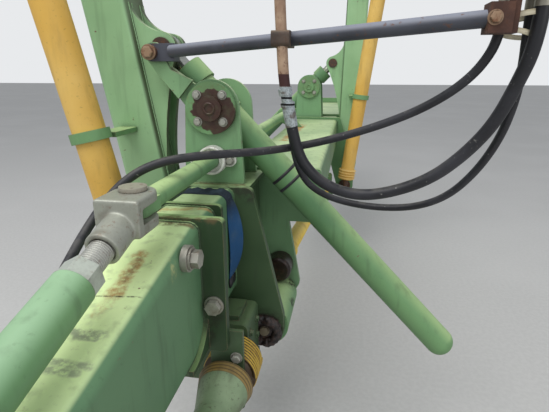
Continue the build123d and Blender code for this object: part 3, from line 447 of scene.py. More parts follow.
def pipeFinish(name, plan):
    s = Finish(name)
    high = s.reading("Z")
    cloudy = s.noise(24, 6, rough=0.6)
    tan = s.mix(cloudy.rise(0.35, 0.65), (184, 156, 130), (152, 122, 100))
    tan = s.mix(s.noise(90, 9, rough=0.75).rise(0.54, 0.66) * 0.8, tan, (98, 62, 44))
    plated = s.mix(s.cells(260).rise(0.1, 0.8), (150, 158, 160), (188, 196, 198))
    plated = s.mix(s.noise(60, 7).rise(0.5, 0.66) * 0.7, plated, (96, 74, 58))
    above = high.rise(plan["fitting"], plan["fitting"] + plan["blend"])
    sleeve = above * (1 - high.rise(plan["sleeve"], plan["sleeve"] + plan["blend"]))
    colour = s.mix(1 - above, tan, plated)
    colour = s.mix(sleeve, colour, (66, 36, 34))
    sharp = 0.3 * plan["blend"]
    for low in plan["rings"]:
        top = low + plan["ringTall"]
        band = high.rise(low, low + sharp) * (1 - high.rise(top, top + sharp))
        colour = s.mix(band, colour, (26, 26, 28))
    height = s.noise(170, 8, rough=0.7)
    return s.done(colour, 0.42 + 0.3 * cloudy, height, 0.35, 0.0008, metal=0.65 - 0.5 * above)


def rodFinish(name, tint):  # plated rod with a thin film of oil
    s = Finish(name)
    turning = s.noise((14, 14, 260), 4)
    colour = s.mix(turning.rise(0.35, 0.65) * 0.4, tint, (150, 150, 144))
    film = s.noise(16, 6).rise(0.5, 0.7) * 0.55
    colour = s.mix(film, colour, (84, 74, 62))
    return s.done(colour, 0.2 + 0.25 * film, turning, 0.08, 0.0004, metal=0.9)


def bellowsFinish(name, line, reach):  # darker in the valleys between the ribs
    s = Finish(name)
    cloudy = s.noise(14, 5)
    colour = s.mix(cloudy.rise(0.35, 0.7), (176, 142, 38), (196, 164, 60))
    valley = s.near(*line, reach).rise(0.010, 0.018)
    colour = s.mix(valley, colour, (66, 48, 22))
    stains = s.noise((60, 60, 20), 7).rise(0.46, 0.7) * 0.6
    colour = s.mix(stains, colour, (94, 66, 36))
    specks = s.noise(160, 8, rough=0.7).rise(0.58, 0.68) * 0.6
    colour = s.mix(specks, colour, (60, 44, 30))
    return s.done(colour, 0.42 + 0.3 * stains, s.noise(220, 5), 0.2, 0.0006)


def webbingFinish(name, tint, weft):  # woven along the strap's own UV
    s = Finish(name)
    cloth = s.node("ShaderNodeTexCoord", out="UV")
    along = s.wave(38, 0.0, "Y", cloth)
    wide = s.wave(7.5, 0.0, "X", cloth)
    weave = along * 0.55 + wide * 0.45
    fuzz = s.noise(400, 6, rough=0.7)
    colour = s.mix(weave, tint, weft)
    dirty = s.reading("Z").rise(0.11, 0.175) * 0.96  # on top of the neck
    colour = s.mix(dirty, colour, (24, 36, 46))
    colour = s.mix(s.noise(30, 5).rise(0.5, 0.75) * 0.4, colour, (84, 106, 120))
    height = weave + fuzz * 0.4
    return s.done(colour, 0.72 + 0.2 * fuzz, height, 0.6, 0.0007)


# Lines through the front station's right pin, its bearing's hub, the link's bearing and the input drive
pinLine = ((0.137, 0.77, -0.200), (0.137, 0.79, -0.200))
hubLine = ((0.0, 0.81, 0.376), (0.020, 0.81, 0.360))
linkLine = ((0.146, 0.93, -0.100), (0.146, 1.00, -0.100))
driveLine = ((0.100, 0.50, -0.180), (0.100, 0.70, -0.180))
valleyReach = 0.0625  # the bellows are darker inside this radius

# One finish for each material slot of the record
ochre = ((218, 172, 76), (228, 188, 102), (136, 108, 60))
finishes = {
    "green_paint": greenFinish("greenPaint", greenPaint),
    "zinc": zincFinish("galvanised", (176, 174, 164)),
    "yellow_guard": plasticFinish("ochreGuard", *ochre),
    "orange_bellows": bellowsFinish("orangeBellows", driveLine, valleyReach),
    "bare_steel": greasyFinish("greasySteel", (70, 56, 48), pinLine, 0.12),
    "black_bar": barFinish("blackBar"),
    "hose_rubber": rubberFinish("hoseRubber", (28, 28, 33), 0.28),
    "blue_webbing": webbingFinish("blueWebbing", (18, 64, 108), (34, 94, 144)),
    "rusty_steel": rustyFinish("rustyBracket", (96, 64, 50), (72, 48, 40)),
}

# Pieces with a finish of their own
hubPaint = (116, 158, 108)
hubFilm = (72, 50, 42)
# a paler copy of the ochre for the link guard, which lies in shade: painted light
brightOchre = ((246, 204, 68), (250, 216, 98), (150, 118, 56))
special = {
    "front_beam": greenFinish("frontBeamPaint", beamPaint, beamMarks),
    "tower_front_web": greenFinish("towerPaint", towerPaint, towerMarks),
    "tower_rear_web": greenFinish("rearWebPaint", rearWebPaint),
    "pivot_tube": greenFinish("pivotPaint", greenPaint, pivotMarks),
    "tower_box": greenFinish("boxPaint", towerPaint, boxMarks),
    "front_gearbox": greenFinish("gearboxPaint", shadedPaint),
    "shaft_bracket": greenFinish("bracketPaint", bracketPaint),
    "turnbuckle": greenFinish("turnbucklePaint", turnbucklePaint),
    "collar": greenFinish("collarPaint", collarPaint, collarMarks),
    "neck_rib": greenFinish("ribPaint", collarPaint),
    "uprights": greenFinish("uprightPaint", uprightPaint),
    "front_boom": greenFinish("frontBoomPaint", {**boomPaint, "inner": 1.0}),
    "rear_boom": greenFinish("rearBoomPaint", {**boomPaint, "inner": -1.0}),
    "rear_beam": greenFinish("rearBeamPaint", rearPaint, rearMarks),
    "trunnion_bearings": greasyFinish("greasyFlange", hubPaint, hubLine, 0.066, 0.2, film=hubFilm),
    "link_bearing": greasyFinish("greasyHousing", (60, 76, 52), linkLine, 0.15, 0.3),
    "input_guard": bowlFinish("bowlGuard", bowlPlan),
    "link_guard": plasticFinish("brightGuard", *brightOchre),
    "fold_pins": greasyFinish("greasyPin", (54, 44, 40), pinLine, 0.09, 0.6, 0.016),
    "clevis": zincFinish("forgedClevis", (160, 162, 150), 0.5, 0.12),
    "clevis_pin": zincFinish("clevisPin", (178, 172, 158), 0.7, 0.15),
    "lock_nut": zincFinish("brightNut", (196, 202, 190), 0.7),
    "turnbuckle_rod": zincFinish("threadedRod", (186, 186, 178), 0.6, 0.05),
    "guide_ring": zincFinish("paleRing", (226, 228, 218), 0.2),
    "front_lift_ram": rodFinish("ramRod", (178, 180, 172)),
    "rear_lift_ram": rodFinish("rearRamRod", (190, 200, 176)),
    "thin_pipes": pipeFinish("tanPipe", pipePlan),
    "hose_couplings": zincFinish("couplings", (160, 156, 142), 0.7, 0.15),
    "pipe_clamp": rustyFinish("pipeClamp", (88, 74, 64), (70, 60, 54)),
}
for piece in frame["record"]["subparts"]:
    finish = special.get(piece["node"]) or finishes[piece["material_slot"]]
    mesh = nodes[piece["node"]]
    if not mesh.material_slots:
        mesh.data.materials.append(finish)
    for holder in mesh.material_slots:
        holder.material = finish
print("finishes on the frame:", len(bpy.data.materials))


# Hoses: the same routes as in the CAD, each from its pipe or coupling up to the hose plate
hoses = [
    {
        "name": "lowerHose", "node": "lower_hose", "radius": 0.012, "length": 0.727,
        "route": [
            (0.215, 0.698, 0.352), (0.2254, 0.7032, 0.2962), (0.258, 0.708, 0.248), (0.306, 0.709, 0.217),
            (0.368, 0.706, 0.206), (0.438, 0.701, 0.222), (0.503, 0.684, 0.257), (0.554, 0.666, 0.310),
            (0.593, 0.650, 0.369), (0.615, 0.634, 0.437), (0.628, 0.612, 0.503), (0.628, 0.612, 0.560),
        ],
    },
    {
        "name": "middleHose", "node": "middle_hose", "radius": 0.0085, "length": 1.391,
        "route": [
            (-0.084, 0.062, 0.035), (-0.084, 0.118, 0.035), (-0.085, 0.180, 0.058), (-0.086, 0.240, 0.098),
            (-0.092, 0.305, 0.140), (-0.100, 0.372, 0.172), (-0.106, 0.430, 0.198), (-0.096, 0.484, 0.236),
            (-0.066, 0.514, 0.272), (-0.024, 0.540, 0.296), (0.032, 0.572, 0.305), (0.088, 0.624, 0.303),
            (0.150, 0.690, 0.298), (0.232, 0.742, 0.304), (0.319, 0.738, 0.327), (0.403, 0.711, 0.359),
            (0.470, 0.685, 0.392), (0.523, 0.662, 0.430), (0.558, 0.645, 0.470), (0.577, 0.635, 0.517),
            (0.577, 0.635, 0.560),
        ],
    },
    {
        "name": "upperHose", "node": "upper_hose", "radius": 0.008, "length": 0.863,
        "route": [
            (0.203, 0.775, 0.330), (0.2074, 0.7857, 0.2917), (0.219, 0.792, 0.244), (0.242, 0.800, 0.203),
            (0.286, 0.808, 0.173), (0.349, 0.806, 0.157), (0.423, 0.792, 0.155), (0.493, 0.766, 0.170),
            (0.550, 0.740, 0.205), (0.592, 0.714, 0.266), (0.618, 0.688, 0.335), (0.627, 0.665, 0.404),
            (0.626, 0.650, 0.468), (0.622, 0.644, 0.520), (0.622, 0.644, 0.560),
        ],
    },
]


def makeHose(plan):
    curve = bpy.data.curves.new(plan["name"], "CURVE")
    curve.dimensions = "3D"
    curve.bevel_depth = plan["radius"]
    curve.bevel_resolution = 5
    curve.resolution_u = 10
    spline = curve.splines.new("NURBS")
    spline.points.add(len(plan["route"]) - 1)
    for point, place in zip(spline.points, plan["route"]):
        point.co = (*place, 1.0)
    spline.order_u = 3
    spline.use_endpoint_u = True
    curve.materials.append(finishes["hose_rubber"])
    hose = placed(plan["name"], curve)
    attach(hose, "frame")
    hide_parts(plan["node"])


for plan in hoses:
    makeHose(plan)
print("hoses:", len(hoses))


# Blue strap over the neck: a woven band, crumpled on top, with a black tip on its hanging end
strapPlan = {
    "front": 0.722, "wide": 0.045, "thick": 0.0022, "half": 0.0618, "top": 0.1878, "corner": 0.0215,
    "leftTip": 0.092, "rightTip": -0.030, "sway": 0.004, "twist": 34.0, "columns": 8,
    "swell": 0.0007, "waves": 0.0012, "folds": 0.0013, "slide": 0.0035,
    "tip": (0.0052, 0.048, 0.024), "tipMoved": (0.001, -0.0019, -0.008),
}


def strapLine(plan):  # points of the middle line in X and Z, from the left tip over the top
    half, corner = plan["half"], plan["corner"]
    shoulder, across = plan["top"] - corner, half - corner
    bend, flat, hang = 8, 10, 16  # steps in a bend or the left end, over the top, and in the right end
    line = [(-half, plan["leftTip"] + (shoulder - plan["leftTip"]) * step / bend) for step in range(bend + 1)]
    for step in range(1, bend + 1):
        turn = math.radians(180 - 90 * step / bend)
        line.append((corner * math.cos(turn) - across, shoulder + corner * math.sin(turn)))
    line += [(-across + 2 * across * step / flat, plan["top"]) for step in range(1, flat)]
    for step in range(bend + 1):
        turn = math.radians(90 - 90 * step / bend)
        line.append((across + corner * math.cos(turn), shoulder + corner * math.sin(turn)))
    for step in range(1, hang + 1):
        share = step / hang
        sway = plan["sway"] * math.sin(3.0 * share) * share
        line.append((half + sway, shoulder - (shoulder - plan["rightTip"]) * share))
    return line


def makePiece(name, mesh, finish, body):
    mesh.materials.clear()
    mesh.materials.append(finish)
    piece = placed(name, mesh)
    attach(piece, body)
    return piece


def makeStrap(plan):
    line = strapLine(plan)
    columns = plan["columns"]
    shoulder = plan["top"] - plan["corner"]
    points, faces, uvs = [], [], []
    length = 0.0
    for row, (x, z) in enumerate(line):
        if row:
            length += math.dist((x, z), line[row - 1])
        fallen = max(0.0, min(1.0, (shoulder - z) / (shoulder - plan["rightTip"])))
        turn = math.radians(plan["twist"]) * math.sin(math.pi * fallen) * (x > 0)
        offTop = abs(z - plan["top"])
        out = x / plan["half"] * (1.0 if offTop > plan["corner"] else 0.3)
        crumpled = plan["folds"] * max(0.0, 1 - offTop / 0.004)
        slide = plan["slide"] * math.sin(7 * length)
        for column in range(columns + 1):
            share = column / columns
            swell = plan["swell"] * math.cos(2 * math.pi * share)
            lift = max(0.0, swell + plan["waves"] * math.sin(22.5 * length + 2.5 * share))  # long waves
            folds = crumpled * (1 + math.sin(210 * length + 7 * share)) * (0.4 + share)  # short creases
            across = x + lift * out + plan["wide"] * share * math.sin(turn)
            back = plan["front"] + plan["wide"] * share * math.cos(turn) + slide
            points.append((across, back, z + lift * 0.4 + folds))
            uvs.append((share * 0.9, length * 20))
    for row in range(len(line) - 1):
        for column in range(columns):
            first = row * (columns + 1) + column
            faces.append((first, first + 1, first + columns + 2, first + columns + 1))
    mesh = bpy.data.meshes.new("strapBand")
    mesh.from_pydata(points, [], faces)
    layer = mesh.uv_layers.new(name="cloth")
    for loop in mesh.loops:
        layer.data[loop.index].uv = uvs[loop.vertex_index]
    band = makePiece("strapBand", mesh, finishes["blue_webbing"], "frame")
    solid = band.modifiers.new("thickness", "SOLIDIFY")
    solid.thickness = plan["thick"]
    solid.offset = 1.0
    rounded = band.modifiers.new("softEdge", "BEVEL")
    rounded.width = 0.0005
    rounded.segments = 2
    mesh.shade_smooth()
    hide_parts("strap")
    return band, length


def makeStrapTip(plan):
    x, z = strapLine(plan)[-1]
    form = bmesh.new()
    bmesh.ops.create_cube(form, size=1.0)
    bmesh.ops.scale(form, verts=form.verts, vec=plan["tip"])
    bmesh.ops.bevel(form, geom=form.edges[:], offset=0.0016, segments=3, affect="EDGES")
    middle = Vector((x, plan["front"] + plan["wide"] / 2, z)) + Vector(plan["tipMoved"])
    bmesh.ops.translate(form, verts=form.verts, vec=middle)
    mesh = bpy.data.meshes.new("strapTip")
    form.to_mesh(mesh)
    form.free()
    mesh.shade_smooth()
    finish = rubberFinish("strapTip", (24, 24, 28), 0.3)
    return makePiece("strapTip", mesh, finish, "frame")


strapBand, strapLength = makeStrap(strapPlan)
strapTip = makeStrapTip(strapPlan)
print("strap length:", round(strapLength, 3))


# Geometry Nodes: bolts, rings, weld seams, thread and bellows, each made a plain mesh at the end
class Growth(NodeMaker):
    def __init__(self, name, sizes):
        super().__init__(bpy.data.node_groups.new(name, "GeometryNodeTree"))
        self.sizes = sizes
        face = self.tree.interface
        face.new_socket("Geometry", in_out="INPUT", socket_type="NodeSocketGeometry")
        face.new_socket("Geometry", in_out="OUTPUT", socket_type="NodeSocketGeometry")
        for label in sizes:
            face.new_socket(label, in_out="INPUT", socket_type="NodeSocketFloat")
        self.entry = self.tree.nodes.new("NodeGroupInput")
        self.seed = self.size("Geometry")

    def size(self, label):
        return Value(self, self.entry.outputs[label])

    def moved(self, geometry, place):
        return self.node("GeometryNodeTransform", None, {"Geometry": geometry, "Translation": place})

    def joined(self, *parts):
        made = self.tree.nodes.new("GeometryNodeJoinGeometry")
        for part in parts:
            self.tree.links.new(part.socket, made.inputs[0])
        return Value(self, made.outputs[0])

    def swept(self, curve, profile, scale=1.0):
        sockets = {"Curve": curve, "Profile Curve": profile, "Scale": scale, "Fill Caps": True}
        return self.node("GeometryNodeCurveToMesh", None, sockets)

    def circle(self, radius, steps):
        return self.node("GeometryNodeCurvePrimitiveCircle", None, {"Resolution": steps, "Radius": radius})

    def attribute(self, name, kind):
        return self.node("GeometryNodeInputNamedAttribute", {"data_type": kind}, {"Name": name})

    def onPoints(self, shape):  # the shape on each point, its Z turned along the point's direction
        along = self.attribute("along", "FLOAT_VECTOR")
        turn = self.node("FunctionNodeAlignRotationToVector", {"axis": "Z"}, {"Vector": along})
        scale = self.attribute("size", "FLOAT")
        sockets = {"Points": self.seed, "Instance": shape, "Rotation": turn, "Scale": scale}
        return self.node("GeometryNodeInstanceOnPoints", None, sockets)

    def end(self, geometry, finish):
        whole = self.node("GeometryNodeRealizeInstances", None, {0: geometry})
        dressed = self.node("GeometryNodeSetMaterial", None, {"Geometry": whole, "Material": finish})
        self.node("NodeGroupOutput", None, {0: dressed})

    def grow(self, name, seed, finish, body, slot, place=None):
        holder = placed(name + "Seed", seed)
        modifier = holder.modifiers.new("growth", "NODES")
        modifier.node_group = self.tree
        for item in self.tree.interface.items_tree:
            if item.in_out == "INPUT" and item.name in self.sizes:
                modifier[item.identifier] = self.sizes[item.name]
        mesh = grown(holder)
        if place is not None:
            mesh.transform(place)
        print(name, "faces:", len(mesh.polygons))
        return makePiece(name, mesh, finish, body)


def pointSeed(rows):  # each row is a place, the direction of the shape's Z and its size
    mesh = bpy.data.meshes.new("places")
    mesh.from_pydata([place for place, along, size in rows], [], [])
    mesh.attributes.new("along", "FLOAT_VECTOR", "POINT")
    mesh.attributes.new("size", "FLOAT", "POINT")
    for index, (place, along, size) in enumerate(rows):
        mesh.attributes["along"].data[index].vector = along
        mesh.attributes["size"].data[index].value = size
    return mesh


def lineSeed(lines):  # each line is a list of points, closed if it ends where it starts
    points, edges = [], []
    for line in lines:
        closed = line[0] == line[-1]
        kept = line[:-1] if closed else line
        first = len(points)
        points += kept
        edges += [(first + step, first + step + 1) for step in range(len(kept) - 1)]
        if closed:
            edges.append((first + len(kept) - 1, first))
    mesh = bpy.data.meshes.new("lines")
    mesh.from_pydata(points, edges, [])
    return mesh


# Two stations, where a boom folds between the webs and its lift cylinder swings above them.
# Side is the boom's side along X, lean its tilt at rest in degrees, foot the height of the uprights' feet.
stations = []
for name, side, lean, foot in (("front", -1, 9.3, 0.189), ("rear", 1, 1.3, 0.192)):
    stations.append({
        "name": name, "side": side, "lean": lean, "foot": foot,
        "fold": Vector(joints[name + "_boom_fold"]["pos_m"]),
        "trunnion": Vector(joints[name + "_barrel_swing"]["pos_m"]),
    })


# Hexagon bolts with a bevelled head on a washer: the shape is in shares of the head's radius
boltShape = {"head": 1.0, "tall": 0.62, "bevel": 0.86, "washer": 1.32}
forward = (0, -1, 0)
boltPlan = {  # size is the head's radius, along is where it points
    "bearing": {"size": 0.0085, "away": 0.089, "spread": 0.0318},
    "guide": {"size": 0.0095, "along": forward, "places": [(-0.044, 0.820, 0.250), (0.044, 0.820, 0.250)]},
    "arm": {"size": 0.0135, "along": forward, "places": [(-0.135, 0.7934, 0.504)]},
    "bracket": {"size": 0.010, "along": forward, "places": [(0.121, 0.555, -0.122)]},
    "post": {"size": 0.009, "along": forward, "places": [(0.5505, 0.580, 0.542)]},
    "clamp": {"size": 0.006, "along": (0, 0, 1), "places": [(0.193, 0.699, 0.5372), (0.193, 0.736, 0.5372)]},
    "cover": {"size": 0.008, "spread": 0.032, "heights": (-0.135, -0.180, -0.225), "rearDrop": 0.012},
}
boltKinds = {
    "hexBolts": ("bearing", "guide", "bracket", "clamp"),
    "rustyBolts": ("arm", "post"),
    "coverBolts": ("cover",),
}


def boltRows(plan):  # the rows of each kind
    rows = {kind: [] for kind in plan}

    def add(kind, place, along):
        rows[kind].append((place, along, plan[kind]["size"]))

    bearing, cover = plan["bearing"], plan["cover"]
    for station in stations:
        for away in (-1, 1):
            for dx in (-bearing["spread"], bearing["spread"]):
                for dz in (-bearing["spread"], bearing["spread"]):
                    offset = Vector((dx, away * bearing["away"], dz))
                    add("bearing", station["trunnion"] + offset, (0, away, 0))
    for kind in ("guide", "arm", "bracket", "post", "clamp"):
        for place in plan[kind]["places"]:
            add(kind, place, plan[kind]["along"])
    for node, side, drop in (("front_gearbox", 1, 0.0), ("rear_gearbox", -1, cover["rearDrop"])):
        low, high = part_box(node)
        face = high.x if side > 0 else low.x
        middle = (low.y + high.y) / 2
        for z in cover["heights"]:
            for away in (-cover["spread"], cover["spread"]):
                add("cover", (face, middle + away, z - drop), (side, 0, 0))
    return rows


def makeBolts(name, rows, finish):
    tree = Growth(name, boltShape)
    tall = boltShape["tall"]
    washerTall, tip = 0.2, 0.12
    barrel = {"Vertices": 6, "Radius": tree.size("head"), "Depth": tree.size("tall")}
    head = tree.moved(tree.node("GeometryNodeMeshCylinder", None, barrel), (0, 0, washerTall + tall / 2))
    top = {"Vertices": 6, "Radius Top": tree.size("bevel"), "Radius Bottom": tree.size("head"), "Depth": tip}
    bevelled = tree.moved(tree.node("GeometryNodeMeshCone", None, top), (0, 0, washerTall + tall))
    flat = {"Vertices": 20, "Radius": tree.size("washer"), "Depth": washerTall}
    washer = tree.moved(tree.node("GeometryNodeMeshCylinder", None, flat), (0, 0, washerTall / 2))
    tree.end(tree.onPoints(tree.joined(head, bevelled, washer)), finish)
    tree.grow(name, pointSeed(rows), finish, "frame", "zinc")


def makeAllBolts():
    rows = boltRows(boltPlan)
    boltFinishes = {
        "hexBolts": zincFinish("boltZinc", (172, 172, 162), 0.65, 0.2),
        "rustyBolts": zincFinish("boltRust", (150, 122, 96), 0.5, 0.9),
        "coverBolts": special["front_gearbox"],
    }
    for name, kinds in boltKinds.items():
        makeBolts(name, [row for kind in kinds for row in rows[kind]], boltFinishes[name])


# Rings round a line: width and thickness are in shares of the radius
bandPlan = {"wide": 0.19, "thick": 0.03, "radius": 0.0384, "reaches": (0.242, 0.270)}
tiePlan = {
    "wide": 0.30, "thick": 0.08,
    "rows": [
        ((0.600, 0.639, 0.522), (0.2, 0.1, 1.0), 0.0270),
        ((0.604, 0.634, 0.548), (-0.15, 0.1, 1.0), 0.0290),
    ],
}
lipPlan = {"wide": 0.26, "thick": 0.20, "rows": [((0.0, 0.808, 0.250), forward, 0.0320)]}
hubPlan = {"wide": 0.5, "thick": 0.4, "radius": 0.0125, "away": 0.0985}


def makeRings(name, plan, rows, finish, body, slot):
    tree = Growth(name, {side: plan[side] for side in ("wide", "thick")})
    strip = {"Width": tree.size("thick"), "Height": tree.size("wide")}
    profile = tree.node("GeometryNodeCurvePrimitiveQuadrilateral", {"mode": "RECTANGLE"}, strip)
    tree.end(tree.onPoints(tree.swept(tree.circle(1.0, 40), profile)), finish)
    tree.grow(name, pointSeed(rows), finish, body, slot)


def makeBarrelBands(plan):  # thin black bands round the front barrel
    black = rubberFinish("bandRubber", (20, 20, 22), 0.2)
    along = -Vector(joints["front_ram_slide"]["axis"])
    rows = [(stations[0]["trunnion"] + along * reach, along, plan["radius"]) for reach in plan["reaches"]]
    makeRings("barrelBands", plan, rows, black, "front_barrel", "hose_rubber")


def makeHoseTies(plan):  # pale ties round the hoses under their plate
    cream = ((226, 216, 186), (236, 228, 206), (150, 136, 104))
    makeRings("hoseTies", plan, plan["rows"], plasticFinish("creamTie", *cream), "frame", "blue_webbing")


def makeHubCaps(plan):  # a cap on the hub of each trunnion bearing
    rows = []
    for station in stations:
        for away in (-plan["away"], plan["away"]):
            rows.append((station["trunnion"] + Vector((0, away, 0)), (0, away, 0), plan["radius"]))
    makeRings("hubCaps", plan, rows, special["trunnion_bearings"], "frame", "bare_steel")


# Weld seams: a rippled bead along each joint
weldShape = {"bead": 0.0029, "step": 0.0024, "ripple": 0.13}
seamPlan = {
    "out": 0.0007,  # how far the bead's middle lies off the plate's face
    "corner": 0.020,  # the round corners of the beams
    "plate": 0.020,  # the thickness of the collar and the webs
    "frontTop": 0.0876,  # the front beam's top at its flange
    "foot": 0.077,  # half the length of an upright's foot
    "uprights": (0.063, 0.075),  # an upright's two faces, from the station's middle
}
boomSeamPlan = {  # tops of the cheeks, feet of the cylinder's lugs, and the end flange
    "cheekTop": 0.281, "cheekHalf": 0.051, "cheek": 0.0557,
    "side": 0.0592, "lugs": (-0.0375, -0.0215, 0.0215, 0.0375), "lugEnds": (0.380, 0.824),
    "end": 1.4293, "half": 0.059, "deep": 0.055, "cut": 0.014,
}


def loopRound(low, high, y, top=None):  # round a section with round corners, in the plane at y
    corner = seamPlan["corner"]
    left, right, bottom = low.x + corner, high.x - corner, low.z + corner
    upper = (top or high.z) - corner
    line = []
    for x, z, start in ((right, upper, 0), (left, upper, 90), (left, bottom, 180), (right, bottom, 270)):
        for step in range(6):
            turn = math.radians(start + 18 * step)
            line.append((x + corner * math.cos(turn), y, z + corner * math.sin(turn)))
    return line + line[:1]


def collarSeams(plan):
    out = plan["out"]
    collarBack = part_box("collar")[1].y
    ribFront, ribBack = (corner.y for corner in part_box("neck_rib"))
    faces = (collarBack - plan["plate"] - out, collarBack + out, ribFront - out, ribBack + out)
    return [loopRound(*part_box("front_beam"), y) for y in faces]


def frameSeams(plan):
    out, plate = plan["out"], plan["plate"]
    front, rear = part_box("front_beam"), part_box("rear_beam")
    websFront, websBack = (corner.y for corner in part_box("rear_webs"))
    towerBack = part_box("tower_rear_web")[1].y
    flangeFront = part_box("rear_flange")[0].y
    lines = [
        loopRound(*front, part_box("tower_front_web")[0].y - out),
        loopRound(*front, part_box("front_flange")[1].y + out, plan["frontTop"]),
    ]
    faces = (towerBack + out, websFront - out, websFront + plate + out,
             websBack - plate - out, websBack + out, flangeFront - out)
    lines += [loopRound(*rear, y) for y in faces]
    inside, outside = plan["uprights"]
    for station in stations:
        left = station["trunnion"].x - plan["foot"]
        right = station["trunnion"].x + plan["foot"]
        for away in (-outside - out, out - inside, inside - out, outside + out):
            y = station["trunnion"].y + away
            lines.append([(left, y, station["foot"]), (right, y, station["foot"])])
    return lines


def boomSeams(station, plan):  # in the boom's own frame: Z up the boom from its fold pin
    tilt = Matrix.Rotation(math.radians(station["side"] * station["lean"]), 3, "Y")

    def onBoom(x, y, z):
        return tuple(station["fold"] + tilt @ Vector((x, y, z)))

    top, wide = plan["cheekTop"], plan["cheekHalf"]
    lines = [[onBoom(-wide, y, top), onBoom(wide, y, top)] for y in (-plan["cheek"], plan["cheek"])]
    side = -station["side"] * plan["side"]
    lines += [[onBoom(side, y, end) for end in plan["lugEnds"]] for y in plan["lugs"]]
    half, deep, cut = plan["half"], plan["deep"], plan["cut"]
    quarter = [(half - cut, -deep), (half, cut - deep), (half, deep - cut), (half - cut, deep)]
    ring = quarter + [(-x, -y) for x, y in quarter]
    return lines + [[onBoom(x, y, plan["end"]) for x, y in ring + ring[:1]]]


def makeSeams(name, lines, finish, body):
    tree = Growth(name, weldShape)
    curve = tree.node("GeometryNodeMeshToCurve", None, {0: tree.seed})
    spacing = {"Curve": curve, "Length": tree.size("step")}
    evened = tree.node("GeometryNodeResampleCurve", {"mode": "LENGTH"}, spacing)
    ripple = (tree.node("GeometryNodeInputIndex") * 1.7).sine() * tree.size("ripple")
    tree.end(tree.swept(evened, tree.circle(tree.size("bead"), 6), ripple + 1.0), finish)
    seam = tree.grow(name, lineSeed(lines), finish, body, "green_paint")
    seam.data.shade_smooth()


# Grease: a lumpy black ring pressed out round the front station's right pin
greasePlan = {"ring": 0.034, "fat": 0.0125, "lumps": 1.6, "push": 0.014}  # push moves each point at random
greasePlace = (0.137, 0.778, -0.200)


def makeGrease(plan, middle):
    s = Finish("blackGrease")
    lumps = s.noise(90, 7, rough=0.6)
    colour = s.mix(lumps.rise(0.4, 0.65), (18, 13, 12), (58, 42, 36))
    finish = s.done(colour, 0.34 + 0.3 * lumps, lumps + s.noise(30, 4), 0.7, 0.003)
    tree = Growth("greaseRing", plan)
    rough = tree.node("ShaderNodeTexNoise", None, {"Scale": 34.0, "Detail": 2.0})
    scale = rough * tree.size("lumps") + 0.25
    ring = tree.swept(tree.circle(tree.size("ring"), 80), tree.circle(tree.size("fat"), 14), scale)
    bumps = tree.node("ShaderNodeTexNoise", None, {"Scale": 95.0, "Detail": 4.0}, "Color")
    evenly = tree.vector("SUBTRACT", {0: bumps, 1: (0.5, 0.5, 0.5)})
    push = tree.vector("SCALE", {0: evenly, "Scale": tree.size("push")})
    tree.end(tree.node("GeometryNodeSetPosition", None, {"Geometry": ring, "Offset": push}), finish)
    place = Matrix.Translation(middle) @ Matrix.Rotation(math.radians(90), 4, "X")
    piece = tree.grow("greaseRing", pointSeed([]), finish, "frame", "bare_steel", place)
    piece.data.shade_smooth()


# Forged clevis: the solid's own shape with its edges rounded as a forging's are
forgingPlan = {"voxel": 0.0018, "rounds": 12}


def makeForging(plan):
    form = bmesh.new()
    form.from_mesh(nodes["clevis"].data)
    bmesh.ops.remove_doubles(form, verts=form.verts, dist=0.00002)
    mesh = bpy.data.meshes.new("forging")
    form.to_mesh(mesh)
    form.free()
    holder = placed("forgingSeed", mesh)
    remesh = holder.modifiers.new("even", "REMESH")
    remesh.mode = "VOXEL"
    remesh.voxel_size = plan["voxel"]
    smooth = holder.modifiers.new("rounded", "SMOOTH")
    smooth.factor = 0.5
    smooth.iterations = plan["rounds"]
    shape = grown(holder)
    shape.shade_smooth()
    piece = makePiece("forgedClevis", shape, special["clevis"], "turnbuckle")
    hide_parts("clevis")
    print("forged clevis faces:", len(shape.polygons))


# Thread of the turnbuckle, from and to along its rod, and the ribbed bellows on the input drive
threadPlan = {"radius": 0.0179, "pitch": 0.0040, "crest": 0.0011, "from": 0.062, "to": 0.153, "slope": 16.0}
bellowsPlan = {
    "core": 0.0588, "rib": 0.0580, "bulge": 0.0036, "ribs": 8.0, "long": 0.077,
    "place": (0.100, 0.565, -0.180),
}


def makeSpiral(name, sizes, core, finish, body, slot, place):
    tree = Growth(name, sizes)
    turns = {"Resolution": 28, "Rotations": tree.size("turns"), "Start Radius": tree.size("radius"),
             "End Radius": tree.size("radius"), "Height": tree.size("tall")}
    spiral = tree.node("GeometryNodeCurveSpiral", None, turns)
    shape = tree.swept(spiral, tree.circle(tree.size("crest"), 8))
    if core:
        inside = {"Vertices": 56, "Radius": core, "Depth": sizes["tall"]}
        middle = tree.moved(tree.node("GeometryNodeMeshCylinder", None, inside), (0, 0, sizes["tall"] / 2))
        shape = tree.joined(shape, middle)
    tree.end(shape, finish)
    piece = tree.grow(name, pointSeed([]), finish, body, slot, place)
    piece.data.shade_smooth()
    return piece


def makeThread(plan):
    slope = math.radians(plan["slope"])
    down = Vector((0.0, -math.cos(slope), -math.sin(slope)))
    pivot = Vector(joints["turnbuckle_swing"]["pos_m"])
    place = Matrix.Translation(pivot + down * plan["from"])
    place = place @ down.to_track_quat("Z", "Y").to_matrix().to_4x4()
    long = plan["to"] - plan["from"]
    sizes = {"turns": long / plan["pitch"], "radius": plan["radius"], "tall": long, "crest": plan["crest"]}
    makeSpiral("turnbuckleThread", sizes, 0, special["turnbuckle_rod"], "turnbuckle", "zinc", place)


